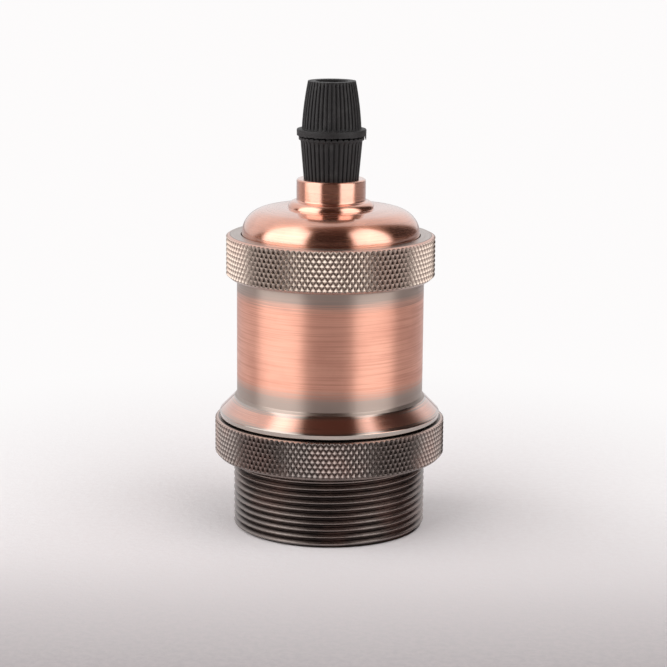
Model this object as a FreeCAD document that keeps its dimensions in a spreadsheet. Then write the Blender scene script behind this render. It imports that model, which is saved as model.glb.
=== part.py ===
import FreeCAD, Part

import math
import os

import Sketcher


# Driving dimensions, in millimetres and degrees. Heights start at the rim of the threaded skirt.
SIZES = [
    ("skirt_wall", 1.85, "from the skirt's bore to the crest of its thread"),
    ("skirt_length", 23.2, "from the rim to the underside of the flare"),
    ("rim_chamfer", 0.4, "on the skirt's rim"),
    ("thread_pitch", 1.42, "of the skirt's thread"),
    ("thread_depth", 0.8, "of its grooves"),
    ("thread_crest", 0.22, "flat width of its crests"),
    ("thread_start", 0.89, "from the rim to its first whole crest"),
    ("mouth_step", 1.5, "from the ledge's opening out to the skirt's bore"),
    ("mouth_depth", 6.0, "from the rim to the inner ledge"),
    ("ledge_thickness", 1.5, "ledge that the porcelain sits on"),
    ("flare_lip", 2.9, "reach of the flare past the skirt's thread"),
    ("flare_band", 0.95, "height of the flare's straight edge"),
    ("flare_rise", 3.55, "height of the flare's cone"),
    ("barrel_wall", 1.75, "from the barrel's bore to its outside"),
    ("barrel_length", 31.1, "from the flare to the barrel's top edge"),
    ("neck_thread_wall", 1.5, "from the bore to the crest of the thread at the barrel's top"),
    ("neck_thread_length", 4.8, "height of that thread"),
    ("spring_groove", 0.7, "depth of the groove for the retaining ring"),
    ("thread_fit", 0.1, "radial play in each thread"),
    ("running_gap", 0.3, "radial gap between faces that pass each other"),
    ("seat_gap", 0.05, "gap left where a ring stops against its seat"),
    ("shade_ring_wall", 3.85, "from its thread out to the knurl's crests"),
    ("shade_ring_height", 7.85, "of the whole ring"),
    ("shade_ring_gap", 0.35, "between the ring and the flare"),
    ("shade_ring_run", 0.8, "width of the ring's chamfers"),
    ("shade_ring_rise", 0.3, "height of its top chamfer"),
    ("shade_ring_foot", 0.85, "height of its bottom chamfer"),
    ("shade_ring_tooth", 1.145, "width of one diamond of its knurl"),
    ("knurl_tooth_height", 1.9, "height of one diamond, on both rings"),
    ("knurl_depth", 0.42, "of both knurls"),
    ("lock_ring_wall", 1.94, "from its plain bore out to the knurl's crests"),
    ("lock_ring_height", 8.8, "of the whole ring"),
    ("lock_ring_lip", 1.0, "thickness of the lip over the cap's flange"),
    ("lock_ring_run", 0.85, "width of the ring's chamfers"),
    ("lock_ring_rise", 0.4, "height of its top chamfer"),
    ("lock_ring_foot", 0.75, "height of its bottom chamfer"),
    ("lock_ring_tooth", 1.16, "width of one diamond of its knurl"),
    ("lock_ring_counterbore", 2.2, "depth of the plain bore below the thread"),
    ("flange_thickness", 1.0, "of the cap's flange"),
    ("flange_width", 0.7, "from the dome's foot out to the edge of the flange"),
    ("cap_wall", 2.1, "thickness of the dome"),
    ("cap_spigot", 2.5, "depth of the cap's skirt inside the barrel"),
    ("cap_straight", 1.15, "height of the dome's straight foot"),
    ("shoulder_radius", 5.1, "round of the dome's shoulder"),
    ("shoulder_angle", 80.0, "how far round the shoulder goes"),
    ("crown_radius", 25.0, "gentle round of the crown"),
    ("crown_rise", 0.38, "from the shoulder to the bead"),
    ("bead_radius", 1.4, "round step at the foot of the neck"),
    ("bead_step", 0.36, "hollow round between that step and the neck"),
    ("neck_wall", 2.04, "from the entry thread to the neck's outside"),
    ("neck_height", 4.45, "above the bead"),
    ("neck_chamfer", 0.25, "on the neck's top edge"),
    ("entry_radius", 5.0, "threaded hole in the neck"),
    ("boss_radius", 3.0, "boss for the earth screw"),
    ("boss_height", 3.6, "of that boss below the crown"),
    ("boss_step", 7.4, "from the dome's foot in to the earth screw"),
    ("grip_foot_radius", 5.6, "lower end of the grip"),
    ("grip_waist_radius", 6.3, "upper end of the lower cone"),
    ("grip_cone_height", 7.9, "of the lower cone"),
    ("grip_flange_radius", 6.65, "flange under the nut"),
    ("grip_flange_height", 0.7, "of that flange"),
    ("rib_groove", 0.34, "depth of the grooves between the grip's ribs"),
    ("rib_groove_width", 0.3, "of those grooves"),
    ("rib_margin", 0.35, "plain band at the ends of the ribs"),
    ("notch_width", 0.62, "of the notches round the flange"),
    ("notch_depth", 0.4, "of those notches"),
    ("notch_reach", 1.2, "from the flange's edge to their inner ends"),
    ("grip_spigot_length", 7.6, "thread that enters the neck"),
    ("grip_bore", 3.0, "way for the cord"),
    ("stem_radius", 4.85, "thread that carries the nut"),
    ("stem_length", 5.8, "of that thread"),
    ("finger_radius", 4.4, "root of the clamping fingers"),
    ("finger_tip", 3.7, "outside of their tips"),
    ("finger_length", 3.1, "of the fingers"),
    ("finger_slot", 0.8, "width of the slots between them"),
    ("nut_gap", 0.35, "between the grip's flange and the nut"),
    ("nut_collar_radius", 7.05, "outside of the nut's collar"),
    ("nut_collar_height", 1.2, "of that collar"),
    ("nut_chamfer", 0.4, "under the collar"),
    ("nut_foot_radius", 6.05, "lower end of the nut's cone"),
    ("nut_top_radius", 4.85, "upper end of the nut's cone"),
    ("nut_cone_height", 9.65, "of that cone"),
    ("nut_bulge", 64.0, "round of the cone's side"),
    ("nut_edge", 0.2, "on the nut's top edge"),
    ("nut_hole", 3.2, "hole in the nut's top"),
    ("nut_roof", 1.3, "height of that hole"),
    ("nut_seat", 3.4, "height of the cone that closes the fingers"),
    ("nose_wall", 2.3, "of the porcelain round the screw shell"),
    ("porcelain_step", 1.0, "from its nose out to the part over the ledge"),
    ("nose_recess", 4.5, "from the rim to the porcelain's face"),
    ("sleeve_top", 24.0, "where the two porcelains meet"),
    ("base_thickness", 8.0, "from there to the shoulder"),
    ("tower_step", 2.3, "from the porcelain's outside in to the terminal block"),
    ("tower_height", 8.0, "above the shoulder"),
    ("recess_radius", 8.8, "recess for the centre contact"),
    ("recess_depth", 3.0, "of that recess"),
    ("floor_thickness", 3.0, "between the recess and the pockets"),
    ("spring_thickness", 1.2, "of the retaining ring"),
    ("spring_width", 2.1, "of the retaining ring"),
    ("spring_split", 5.0, "width of its gap"),
    ("shell_radius", 13.3, "inside of the lamp's screw shell"),
    ("shell_wall", 0.4, "of that shell"),
    ("shell_recess", 0.5, "from the porcelain's face to the shell"),
    ("shell_corner", 1.0, "inside round between its wall and its flange"),
    ("shell_gap", 0.1, "between the shell and the porcelain"),
    ("flange_edge", 0.3, "from the rivets' heads to the inner edge of its flange"),
    ("leaf_thickness", 0.4, "of the centre contact"),
    ("leaf_width", 4.4, "of the centre contact"),
    ("leaf_root", 5.8, "from the axis to its rivet"),
    ("leaf_drop", 2.2, "from its root to its tip"),
    ("leaf_dish", 1.2, "half the length of its flat tip"),
    ("leaf_play", 0.4, "round the rivet and under the floor"),
    ("rivet_radius", 1.1, "shank of each rivet"),
    ("rivet_head", 2.0, "head of each rivet"),
    ("rivet_head_height", 0.55, "of those heads"),
    ("rivet_bearing", 45.0, "of each shell rivet, from the plane of the terminals"),
    ("strap_thickness", 0.6, "of both straps"),
    ("strap_width", 4.6, "of both straps"),
    ("terminal_step", 0.72, "from each shell rivet out to its terminal's middle"),
    ("terminal_width", 5.2, "of each terminal block"),
    ("terminal_length", 6.0, "of each terminal block"),
    ("terminal_height", 5.4, "of each terminal block"),
    ("wire_hole", 1.35, "radius of the hole for the wire"),
    ("pocket_margin", 0.8, "round each terminal and strap"),
    ("screw_radius", 1.25, "shank of the terminal screws"),
    ("screw_head", 2.1, "head of the terminal screws"),
    ("screw_head_height", 1.5, "of those heads"),
    ("screw_slot", 0.5, "width and depth of the driver slots"),
    ("earth_radius", 1.5, "shank of the earth screw"),
    ("earth_head", 2.8, "its head"),
    ("earth_head_height", 1.8, "of that head"),
    ("earth_length", 3.0, "of its shank in the boss"),
    ("washer_radius", 3.0, "of the earth washer"),
    ("washer_thickness", 0.6, "of the earth washer"),
    ("screw_play", 0.05, "radial play round each screw and rivet"),
]

NUT_RIBS = 40
GRIP_RIBS = 38
FLANGE_NOTCHES = 34

doc = FreeCAD.newDocument("LampHolder")
sheet = doc.addObject("Spreadsheet::Sheet", "Sizes")
for row, (alias, number, note) in enumerate(SIZES, start=1):
    sheet.set("A%d" % row, alias)
    sheet.set("B%d" % row, str(number))
    sheet.set("C%d" % row, note)
    sheet.setAlias("B%d" % row, alias)
doc.recompute()


class Size:
    """A length that carries its number and the sheet expression that gives it."""

    def __init__(self, value, text):
        self.value = float(value)
        self.text = text

    def __add__(self, other):
        other = as_size(other)
        return Size(self.value + other.value, "(%s + %s)" % (self.text, other.text))

    def __sub__(self, other):
        other = as_size(other)
        return Size(self.value - other.value, "(%s - %s)" % (self.text, other.text))

    def __mul__(self, factor):
        factor = as_size(factor)
        return Size(self.value * factor.value, "(%s * %s)" % (self.text, factor.text))

    def __truediv__(self, factor):
        factor = as_size(factor)
        return Size(self.value / factor.value, "(%s / %s)" % (self.text, factor.text))

    def __neg__(self):
        return Size(-self.value, "(0 - %s)" % self.text)


def as_size(number):
    """Wrap a plain number, such as a half, so that it can join an expression."""
    return number if isinstance(number, Size) else Size(number, repr(float(number)))


def size(alias):
    """Read one driving dimension from the sheet."""
    return Size(sheet.get(alias), "Sizes.%s" % alias)


def sine(angle):
    return Size(math.sin(math.radians(angle.value)), "sin(%s)" % angle.text)


def cosine(angle):
    return Size(math.cos(math.radians(angle.value)), "cos(%s)" % angle.text)


ZERO = Size(0, "0")


def make_body(label):
    body = doc.addObject("PartDesign::Body", label)
    body.Label = label
    return body


def origin_part(body, role):
    """Find one of the body's own planes or axes."""
    for feature in body.Origin.OriginFeatures:
        if feature.Role == role:
            return feature
    raise ValueError(role)


def attach_sketch(body, name, role, offset=None):
    """Start a sketch on one of the body's own planes, raised by an offset along its normal."""
    sketch = body.newObject("Sketcher::SketchObject", name)
    sketch.AttachmentSupport = [(origin_part(body, role), "")]
    sketch.MapMode = "FlatFace"
    if offset is not None:
        sketch.AttachmentOffset = FreeCAD.Placement(
            FreeCAD.Vector(0, 0, offset.value), FreeCAD.Rotation()
        )
        sketch.setExpression("AttachmentOffset.Base.z", offset.text)
    return sketch


def pin_point(sketch, geometry, end, place):
    """Hold one point of a sketch at an (across, up) pair of sizes."""
    for kind, axis, distance in (("DistanceX", -2, place[0]), ("DistanceY", -1, place[1])):
        if distance.text == "0":
            sketch.addConstraint(Sketcher.Constraint("PointOnObject", geometry, end, axis))
            continue
        index = sketch.addConstraint(
            Sketcher.Constraint(kind, -1, 1, geometry, end, distance.value)
        )
        sketch.setExpression("Constraints[%d]" % index, distance.text)


def arc_between(start, end, radius, side):
    """Give the short arc between two points, with its centre on the left (1) or right (-1)."""
    chord = end - start
    half = chord.Length / 2
    reach = math.sqrt(max(radius * radius - half * half, 0.0))
    left = FreeCAD.Vector(-chord.y, chord.x, 0).normalize()
    centre = (start + end) / 2 + left * (side * reach)
    first, last = (start, end) if side > 0 else (end, start)
    from_angle = math.atan2(first.y - centre.y, first.x - centre.x)
    to_angle = math.atan2(last.y - centre.y, last.x - centre.x)
    circle = Part.Circle(centre, FreeCAD.Vector(0, 0, 1), radius)
    return Part.ArcOfCircle(circle, from_angle, to_angle)


def draw_outline(sketch, points, rounds=None):
    """Draw a closed outline through the points.

    rounds gives, for the edge that leaves a point, the arc's radius and the side of its centre.
    """
    rounds = rounds or {}
    places = [FreeCAD.Vector(across.value, up.value, 0) for across, up in points]
    ends = []
    for index, place in enumerate(places):
        follower = places[(index + 1) % len(places)]
        if index in rounds:
            radius, side = rounds[index]
            edge = sketch.addGeometry(arc_between(place, follower, radius.value, side), False)
            ends.append((edge, 1, 2) if side > 0 else (edge, 2, 1))
        else:
            edge = sketch.addGeometry(Part.LineSegment(place, follower), False)
            ends.append((edge, 1, 2))
    for index, (edge, start, _) in enumerate(ends):
        before, _, finish = ends[index - 1]
        sketch.addConstraint(Sketcher.Constraint("Coincident", before, finish, edge, start))
        pin_point(sketch, edge, start, points[index])
    for index, (radius, _) in rounds.items():
        constraint = sketch.addConstraint(
            Sketcher.Constraint("Radius", ends[index][0], radius.value)
        )
        sketch.setExpression("Constraints[%d]" % constraint, radius.text)


def draw_circle(sketch, across, up, radius):
    place = FreeCAD.Vector(across.value, up.value, 0)
    circle = Part.Circle(place, FreeCAD.Vector(0, 0, 1), radius.value)
    edge = sketch.addGeometry(circle, False)
    pin_point(sketch, edge, 3, (across, up))
    constraint = sketch.addConstraint(Sketcher.Constraint("Radius", edge, radius.value))
    sketch.setExpression("Constraints[%d]" % constraint, radius.text)


def box_outline(left, right, low, high):
    return [(left, low), (right, low), (right, high), (left, high)]


def turn(body, points, rounds=None):
    """Turn an outline, drawn in the XZ plane, about the Z axis."""
    sketch = attach_sketch(body, body.Label + "_outline", "XZ_Plane")
    draw_outline(sketch, points, rounds)
    revolution = body.newObject("PartDesign::Revolution", body.Label + "_turned")
    revolution.Profile = sketch
    revolution.ReferenceAxis = (sketch, ["V_Axis"])
    revolution.Angle = 360
    sketch.Visibility = False
    return revolution


def turn_away(body, points):
    """Cut an outline, drawn in the XZ plane and turned about the Z axis, out of the body."""
    sketch = attach_sketch(body, body.Label + "_bore_outline", "XZ_Plane")
    draw_outline(sketch, points)
    groove = body.newObject("PartDesign::Groove", body.Label + "_bored")
    groove.Profile = sketch
    groove.ReferenceAxis = (sketch, ["V_Axis"])
    groove.Angle = 360
    sketch.Visibility = False
    return groove


def repeat_round(body, name, feature, count):
    """Repeat a feature evenly round the Z axis."""
    pattern = body.newObject("PartDesign::PolarPattern", name)
    pattern.Originals = [feature]
    pattern.Axis = (origin_part(body, "Z_Axis"), [""])
    pattern.Angle = 360
    pattern.Occurrences = count
    body.Tip = pattern
    return pattern


class Knurl:
    """The outside of a ring: rows of diamond pyramids between two chamfers.

    Lines run round the ring, and points on them are raised in turn, so that each raised point is
    the tip of a pyramid and the points between them are the foot of its neighbours' grooves.
    """

    def __init__(self, radius, bottom, top, run, foot, rise, tooth):
        self.radius = radius
        self.bottom = bottom
        self.top = top
        self.run = run
        self.foot = foot
        self.rise = rise
        self.depth = size("knurl_depth").value
        self.teeth = round(2 * math.pi * radius / tooth)
        self.low = bottom + foot
        self.high = top - rise
        self.rows = round(2 * (self.high - self.low) / size("knurl_tooth_height").value)

    def place(self, column, reach, height):
        angle = math.pi * column / self.teeth
        return FreeCAD.Vector(reach * math.cos(angle), reach * math.sin(angle), height)

    def point(self, column, row):
        """Give a tip, or a point in the grooves; the end lines lie on the chamfers."""
        if (column + row) % 2 == 0:
            height = self.low + (self.high - self.low) * row / self.rows
            return self.place(column, self.radius, height)
        share = 1 - self.depth / self.run
        if row == 0:
            height = self.bottom + self.foot * share
        elif row == self.rows:
            height = self.top - self.rise * share
        else:
            height = self.low + (self.high - self.low) * row / self.rows
        return self.place(column, self.radius - self.depth, height)

    def band(self):
        """Give the corners of the pyramids' sides."""
        for row in range(self.rows):
            for column in range(2 * self.teeth):
                near, far = self.point(column, row), self.point(column + 1, row)
                over, beyond = self.point(column, row + 1), self.point(column + 1, row + 1)
                if (column + row) % 2 == 0:
                    yield near, far, over
                    yield far, beyond, over
                else:
                    yield near, far, beyond
                    yield near, beyond, over

    def chamfer(self, row, level):
        """Give the corners of one chamfer's faces, with a tooth on each."""
        first = (row + 1) % 2
        edge = self.radius - self.run
        for column in range(first, 2 * self.teeth, 2):
            left, right = self.point(column, row), self.point(column + 2, row)
            yield left, self.point(column + 1, row), right
            yield left, right, self.place(column + 2, edge, level), self.place(column, edge, level)

    def end(self, row, level):
        """Give the corners of the flat face at one end."""
        first = (row + 1) % 2
        edge = self.radius - self.run
        return [self.place(column, edge, level) for column in range(first, 2 * self.teeth, 2)]

    def blank(self, body):
        """Make the knurled blank the base of a body."""
        outlines = list(self.band())
        outlines += self.chamfer(0, self.bottom)
        outlines += self.chamfer(self.rows, self.top)
        outlines += [self.end(0, self.bottom), self.end(self.rows, self.top)]
        faces = [Part.Face(Part.makePolygon([*corners, corners[0]])) for corners in outlines]
        shell = Part.makeShell(faces)
        shell.sewShape()
        solid = Part.makeSolid(shell)
        if solid.Volume < 0:
            solid.reverse()
        blank = doc.addObject("Part::Feature", body.Label + "_blank")
        blank.Shape = solid
        body.BaseFeature = blank
        doc.recompute()


def raise_pad(body, name, sketch, height):
    pad = body.newObject("PartDesign::Pad", name)
    pad.Profile = sketch
    pad.Length = height.value
    pad.setExpression("Length", height.text)
    return pad


def cut_pocket(body, name, sketch, depth, upwards=False):
    """Cut a pocket from the sketch plane, against its normal unless it goes upwards."""
    pocket = body.newObject("PartDesign::Pocket", name)
    pocket.Profile = sketch
    pocket.Length = depth.value
    pocket.Reversed = upwards
    pocket.setExpression("Length", depth.text)
    return pocket


def cut_through(body, name, sketch):
    """Cut right through the body, both ways from the sketch plane."""
    pocket = body.newObject("PartDesign::Pocket", name)
    pocket.Profile = sketch
    pocket.Type = 1
    pocket.Midplane = True
    return pocket


# Radii that several pieces share, from the lamp's screw shell outwards.
SHELL_OUTSIDE = size("shell_radius") + size("shell_wall")
RIVET_CIRCLE = size("shell_radius") - size("shell_corner") - size("rivet_head")
RIVET_ACROSS = RIVET_CIRCLE * cosine(size("rivet_bearing"))
RIVET_ALONG = RIVET_CIRCLE * sine(size("rivet_bearing"))
TERMINAL_OFFSET = RIVET_ACROSS + size("terminal_step")
PORCELAIN_BORE = SHELL_OUTSIDE + size("shell_gap")
PORCELAIN_NOSE = PORCELAIN_BORE + size("nose_wall")
PORCELAIN_RADIUS = PORCELAIN_NOSE + size("porcelain_step")
LEDGE_RADIUS = PORCELAIN_NOSE + size("running_gap")
SKIRT_BORE = LEDGE_RADIUS + size("mouth_step")
THREAD_RADIUS = SKIRT_BORE + size("skirt_wall")
BARREL_BORE = PORCELAIN_RADIUS + size("running_gap")
BARREL_RADIUS = BARREL_BORE + size("barrel_wall")
GROOVE_RADIUS = BARREL_BORE + size("spring_groove")
NECK_THREAD = BARREL_BORE + size("neck_thread_wall")
CAP_RADIUS = NECK_THREAD - size("flange_width")
BOSS_OFFSET = CAP_RADIUS - size("boss_step")
NECK_RADIUS = size("entry_radius") + size("neck_wall")
BEAD_INNER = NECK_RADIUS + size("bead_step")
BEAD_REACH = BEAD_INNER + size("bead_radius")

# Heights that several pieces share.
FLARE_EDGE = size("skirt_length") + size("flare_band")
FLARE_TOP = FLARE_EDGE + size("flare_rise")
BARREL_TOP = FLARE_TOP + size("barrel_length")
LEDGE_TOP = size("mouth_depth") + size("ledge_thickness")
SHOULDER = size("sleeve_top") + size("base_thickness")
FLANGE_TOP = BARREL_TOP + size("flange_thickness")
LOCK_TOP = FLANGE_TOP + size("seat_gap") + size("lock_ring_lip")
LOCK_BOTTOM = LOCK_TOP - size("lock_ring_height")
CONTACT_FLOOR = size("sleeve_top") + size("recess_depth")
POCKET_FLOOR = CONTACT_FLOOR + size("floor_thickness")
TOWER_TOP = SHOULDER + size("tower_height")
SHOULDER_Z = FLANGE_TOP + size("cap_straight")
SHOULDER_X = CAP_RADIUS - size("shoulder_radius")
CROWN_X = SHOULDER_X + size("shoulder_radius") * cosine(size("shoulder_angle"))
CROWN_Z = SHOULDER_Z + size("shoulder_radius") * sine(size("shoulder_angle"))
BEAD_Z = CROWN_Z + size("crown_rise")
NECK_TOP = BEAD_Z + size("bead_radius") + size("neck_height")
GRIP_WAIST = NECK_TOP + size("grip_cone_height")
GRIP_FLANGE_TOP = GRIP_WAIST + size("grip_flange_height")
STEM_TOP = GRIP_FLANGE_TOP + size("stem_length")
NUT_BOTTOM = GRIP_FLANGE_TOP + size("nut_gap")
NUT_CONE = NUT_BOTTOM + size("nut_collar_height")
NUT_TOP = NUT_CONE + size("nut_cone_height")


def thread_outline():
    """The skirt's thread as rings of its pitch, from the first whole crest up to the flare."""
    pitch, crest = size("thread_pitch"), size("thread_crest")
    root = THREAD_RADIUS - size("thread_depth")
    turns = int((size("skirt_length") - size("thread_start") - crest / 2).value / pitch.value)
    points = []
    for number in range(turns):
        middle = size("thread_start") + pitch * (number + 0.5)
        half = (pitch - crest) / 2
        points += [(THREAD_RADIUS, middle - half), (root, middle), (THREAD_RADIUS, middle + half)]
    return points


def make_barrel():
    """Turned barrel: threaded skirt, flare, body and the neck that the lock ring screws on."""
    body = make_body("barrel")
    chamfer = size("rim_chamfer")
    flare = THREAD_RADIUS + size("flare_lip")
    groove_top = SHOULDER + size("spring_thickness") + size("seat_gap")
    thread_foot = BARREL_TOP - size("neck_thread_length")
    turn(body, [
        (SKIRT_BORE + chamfer, ZERO),
        (THREAD_RADIUS - chamfer, ZERO),
        (THREAD_RADIUS, chamfer),
        *thread_outline(),
        (THREAD_RADIUS, size("skirt_length")),
        (flare, size("skirt_length")),
        (flare, FLARE_EDGE),
        (BARREL_RADIUS, FLARE_TOP),
        (BARREL_RADIUS, thread_foot),
        (NECK_THREAD, thread_foot),
        (NECK_THREAD, BARREL_TOP),
        (BARREL_BORE, BARREL_TOP),
        (BARREL_BORE, groove_top),
        (GROOVE_RADIUS, groove_top),
        (GROOVE_RADIUS, SHOULDER),
        (BARREL_BORE, SHOULDER),
        (BARREL_BORE, LEDGE_TOP),
        (LEDGE_RADIUS, LEDGE_TOP),
        (LEDGE_RADIUS, size("mouth_depth")),
        (SKIRT_BORE, size("mouth_depth")),
        (SKIRT_BORE, chamfer),
    ])
    return body


def make_shade_ring():
    """Ring that clamps a shade against the flare."""
    body = make_body("shade_ring")
    top = size("skirt_length") - size("shade_ring_gap")
    bottom = top - size("shade_ring_height")
    bore = THREAD_RADIUS + size("thread_fit")
    radius = bore + size("shade_ring_wall")
    knurl = Knurl(
        radius.value, bottom.value, top.value, size("shade_ring_run").value,
        size("shade_ring_foot").value, size("shade_ring_rise").value, size("shade_ring_tooth").value,
    )
    knurl.blank(body)
    over = size("running_gap")
    turn_away(body, box_outline(ZERO, bore, bottom - over, top + over))
    return body


def make_lock_ring():
    """Ring that holds the cap's flange on the barrel, with a lip round the dome."""
    body = make_body("lock_ring")
    plain = BARREL_RADIUS + size("running_gap")
    radius = plain + size("lock_ring_wall")
    plain_top = LOCK_BOTTOM + size("lock_ring_counterbore")
    bore = NECK_THREAD + size("thread_fit")
    lip_bottom = LOCK_TOP - size("lock_ring_lip")
    lip = CAP_RADIUS + size("running_gap")
    knurl = Knurl(
        radius.value, LOCK_BOTTOM.value, LOCK_TOP.value, size("lock_ring_run").value,
        size("lock_ring_foot").value, size("lock_ring_rise").value, size("lock_ring_tooth").value,
    )
    knurl.blank(body)
    over = size("running_gap")
    turn_away(body, [
        (ZERO, LOCK_BOTTOM - over),
        (plain, LOCK_BOTTOM - over),
        (plain, plain_top),
        (bore, plain_top),
        (bore, lip_bottom),
        (lip, lip_bottom),
        (lip, LOCK_TOP + over),
        (ZERO, LOCK_TOP + over),
    ])
    return body


def make_cap():
    """Domed cap with its flange, neck and inner boss for the earth screw."""
    body = make_body("cap")
    spigot = BARREL_BORE - size("thread_fit")
    inside = CAP_RADIUS - size("cap_wall")
    spigot_bottom = BARREL_TOP - size("cap_spigot")
    inner_round = size("shoulder_radius") - size("cap_wall")
    ceiling_x = SHOULDER_X + inner_round * cosine(size("shoulder_angle"))
    ceiling_z = SHOULDER_Z + inner_round * sine(size("shoulder_angle"))
    bead_top = BEAD_Z + size("bead_radius")
    chamfer = size("neck_chamfer")
    turn(body, [
        (inside, spigot_bottom),
        (spigot, spigot_bottom),
        (spigot, BARREL_TOP),
        (NECK_THREAD, BARREL_TOP),
        (NECK_THREAD, FLANGE_TOP),
        (CAP_RADIUS, FLANGE_TOP),
        (CAP_RADIUS, SHOULDER_Z),
        (CROWN_X, CROWN_Z),
        (BEAD_REACH, BEAD_Z),
        (BEAD_INNER, bead_top),
        (NECK_RADIUS, bead_top + size("bead_step")),
        (NECK_RADIUS, NECK_TOP - chamfer),
        (NECK_RADIUS - chamfer, NECK_TOP),
        (size("entry_radius"), NECK_TOP),
        (size("entry_radius"), ceiling_z),
        (ceiling_x, ceiling_z),
        (inside, SHOULDER_Z),
    ], {
        6: (size("shoulder_radius"), 1),
        7: (size("crown_radius"), 1),
        8: (size("bead_radius"), 1),
        9: (size("bead_step"), -1),
        15: (inner_round, -1),
    })
    boss_bottom = ceiling_z - size("boss_height")
    boss = attach_sketch(body, "boss_outline", "XY_Plane", boss_bottom)
    draw_circle(boss, -BOSS_OFFSET, ZERO, size("boss_radius"))
    raise_pad(body, "boss", boss, size("boss_height") + size("cap_wall") / 2)
    hole = attach_sketch(body, "boss_hole_outline", "XY_Plane", boss_bottom)
    draw_circle(hole, -BOSS_OFFSET, ZERO, size("earth_radius") + size("screw_play"))
    cut_pocket(body, "boss_hole", hole, size("earth_length") + size("seat_gap"), upwards=True)
    return body


def cut_rib_grooves(body, name, points, count, rounds=None):
    """Cut the narrow grooves between the grip's ribs."""
    sketch = attach_sketch(body, name + "_outline", "XZ_Plane")
    draw_outline(sketch, points, rounds)
    groove = cut_pocket(body, name, sketch, size("rib_groove_width"))
    groove.Midplane = True
    repeat_round(body, name + "s", groove, count)


def make_grip_body():
    """Moulded lower half of the cord grip, with its thread and clamping fingers."""
    body = make_body("grip_body")
    spigot = size("entry_radius") - size("thread_fit")
    bottom = NECK_TOP - size("grip_spigot_length")
    finger_top = STEM_TOP + size("finger_length")
    turn(body, [
        (size("grip_bore"), bottom),
        (spigot, bottom),
        (spigot, NECK_TOP),
        (size("grip_foot_radius"), NECK_TOP),
        (size("grip_waist_radius"), GRIP_WAIST),
        (size("grip_flange_radius"), GRIP_WAIST),
        (size("grip_flange_radius"), GRIP_FLANGE_TOP),
        (size("stem_radius"), GRIP_FLANGE_TOP),
        (size("stem_radius"), STEM_TOP),
        (size("finger_radius"), STEM_TOP),
        (size("finger_tip"), finger_top),
        (size("grip_bore"), finger_top),
    ])
    half = size("finger_slot") / 2
    for name, role in (("slot_one", "XZ_Plane"), ("slot_two", "YZ_Plane")):
        sketch = attach_sketch(body, name + "_outline", role)
        draw_outline(sketch, box_outline(-half, half, STEM_TOP, finger_top + half))
        cut_through(body, name, sketch)
    over = size("running_gap")
    cut_rib_grooves(body, "grip_groove", [
        (size("grip_foot_radius") - size("rib_groove"), NECK_TOP - over),
        (size("grip_waist_radius") + over, NECK_TOP - over),
        (size("grip_waist_radius") + over, GRIP_WAIST - size("rib_margin")),
        (size("grip_waist_radius") - size("rib_groove"), GRIP_WAIST - size("rib_margin")),
    ], GRIP_RIBS)
    notch = attach_sketch(body, "notch_outline", "XZ_Plane", -(size("grip_flange_radius") + over))
    across = size("notch_width") / 2
    draw_outline(notch, [
        (-across, GRIP_FLANGE_TOP + over),
        (-across, GRIP_FLANGE_TOP),
        (ZERO, GRIP_FLANGE_TOP - size("notch_depth")),
        (across, GRIP_FLANGE_TOP),
        (across, GRIP_FLANGE_TOP + over),
    ])
    first = cut_pocket(body, "notch", notch, size("notch_reach") + over, upwards=True)
    repeat_round(body, "notches", first, FLANGE_NOTCHES)
    return body


def make_grip_nut():
    """Moulded nut that closes the fingers on the cord."""
    body = make_body("grip_nut")
    thread = size("stem_radius") + size("thread_fit")
    chamfer = size("nut_chamfer")
    edge = size("nut_edge")
    roof = NUT_TOP - size("nut_roof")
    seat_foot = roof - size("nut_seat")
    turn(body, [
        (thread, NUT_BOTTOM),
        (size("nut_collar_radius") - chamfer, NUT_BOTTOM),
        (size("nut_collar_radius"), NUT_BOTTOM + chamfer),
        (size("nut_collar_radius"), NUT_CONE),
        (size("nut_foot_radius"), NUT_CONE),
        (size("nut_top_radius"), NUT_TOP - edge),
        (size("nut_top_radius") - edge, NUT_TOP),
        (size("nut_hole"), NUT_TOP),
        (size("nut_hole"), roof),
        (thread, seat_foot),
    ], {4: (size("nut_bulge"), 1)})
    depth = size("rib_groove")
    cut_rib_grooves(body, "nut_groove", [
        (size("nut_foot_radius") - depth, NUT_CONE),
        (size("nut_foot_radius") + edge, NUT_CONE),
        (size("nut_foot_radius") + edge, NUT_TOP - size("rib_margin")),
        (size("nut_top_radius") - depth, NUT_TOP - size("rib_margin")),
    ], NUT_RIBS)
    return body


def make_ceramic_sleeve():
    """Lower porcelain, which lines the skirt round the screw shell."""
    body = make_body("ceramic_sleeve")
    turn(body, [
        (PORCELAIN_BORE, size("nose_recess")),
        (PORCELAIN_NOSE, size("nose_recess")),
        (PORCELAIN_NOSE, LEDGE_TOP),
        (PORCELAIN_RADIUS, LEDGE_TOP),
        (PORCELAIN_RADIUS, size("sleeve_top")),
        (PORCELAIN_BORE, size("sleeve_top")),
    ])
    return body


TERMINAL_LEFT = TERMINAL_OFFSET - size("terminal_width") / 2
TERMINAL_RIGHT = TERMINAL_OFFSET + size("terminal_width") / 2
TERMINAL_END = size("terminal_length") / 2
STRAP_LEFT = TERMINAL_OFFSET - size("strap_width") / 2
STRAP_RIGHT = TERMINAL_OFFSET + size("strap_width") / 2
NEUTRAL_END = RIVET_ALONG + size("strap_width") / 2
LIVE_NEAR = size("leaf_root") - size("strap_width") / 2
LIVE_FAR = size("leaf_root") + size("strap_width") / 2
STRAP_HALF = size("strap_width") / 2


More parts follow.
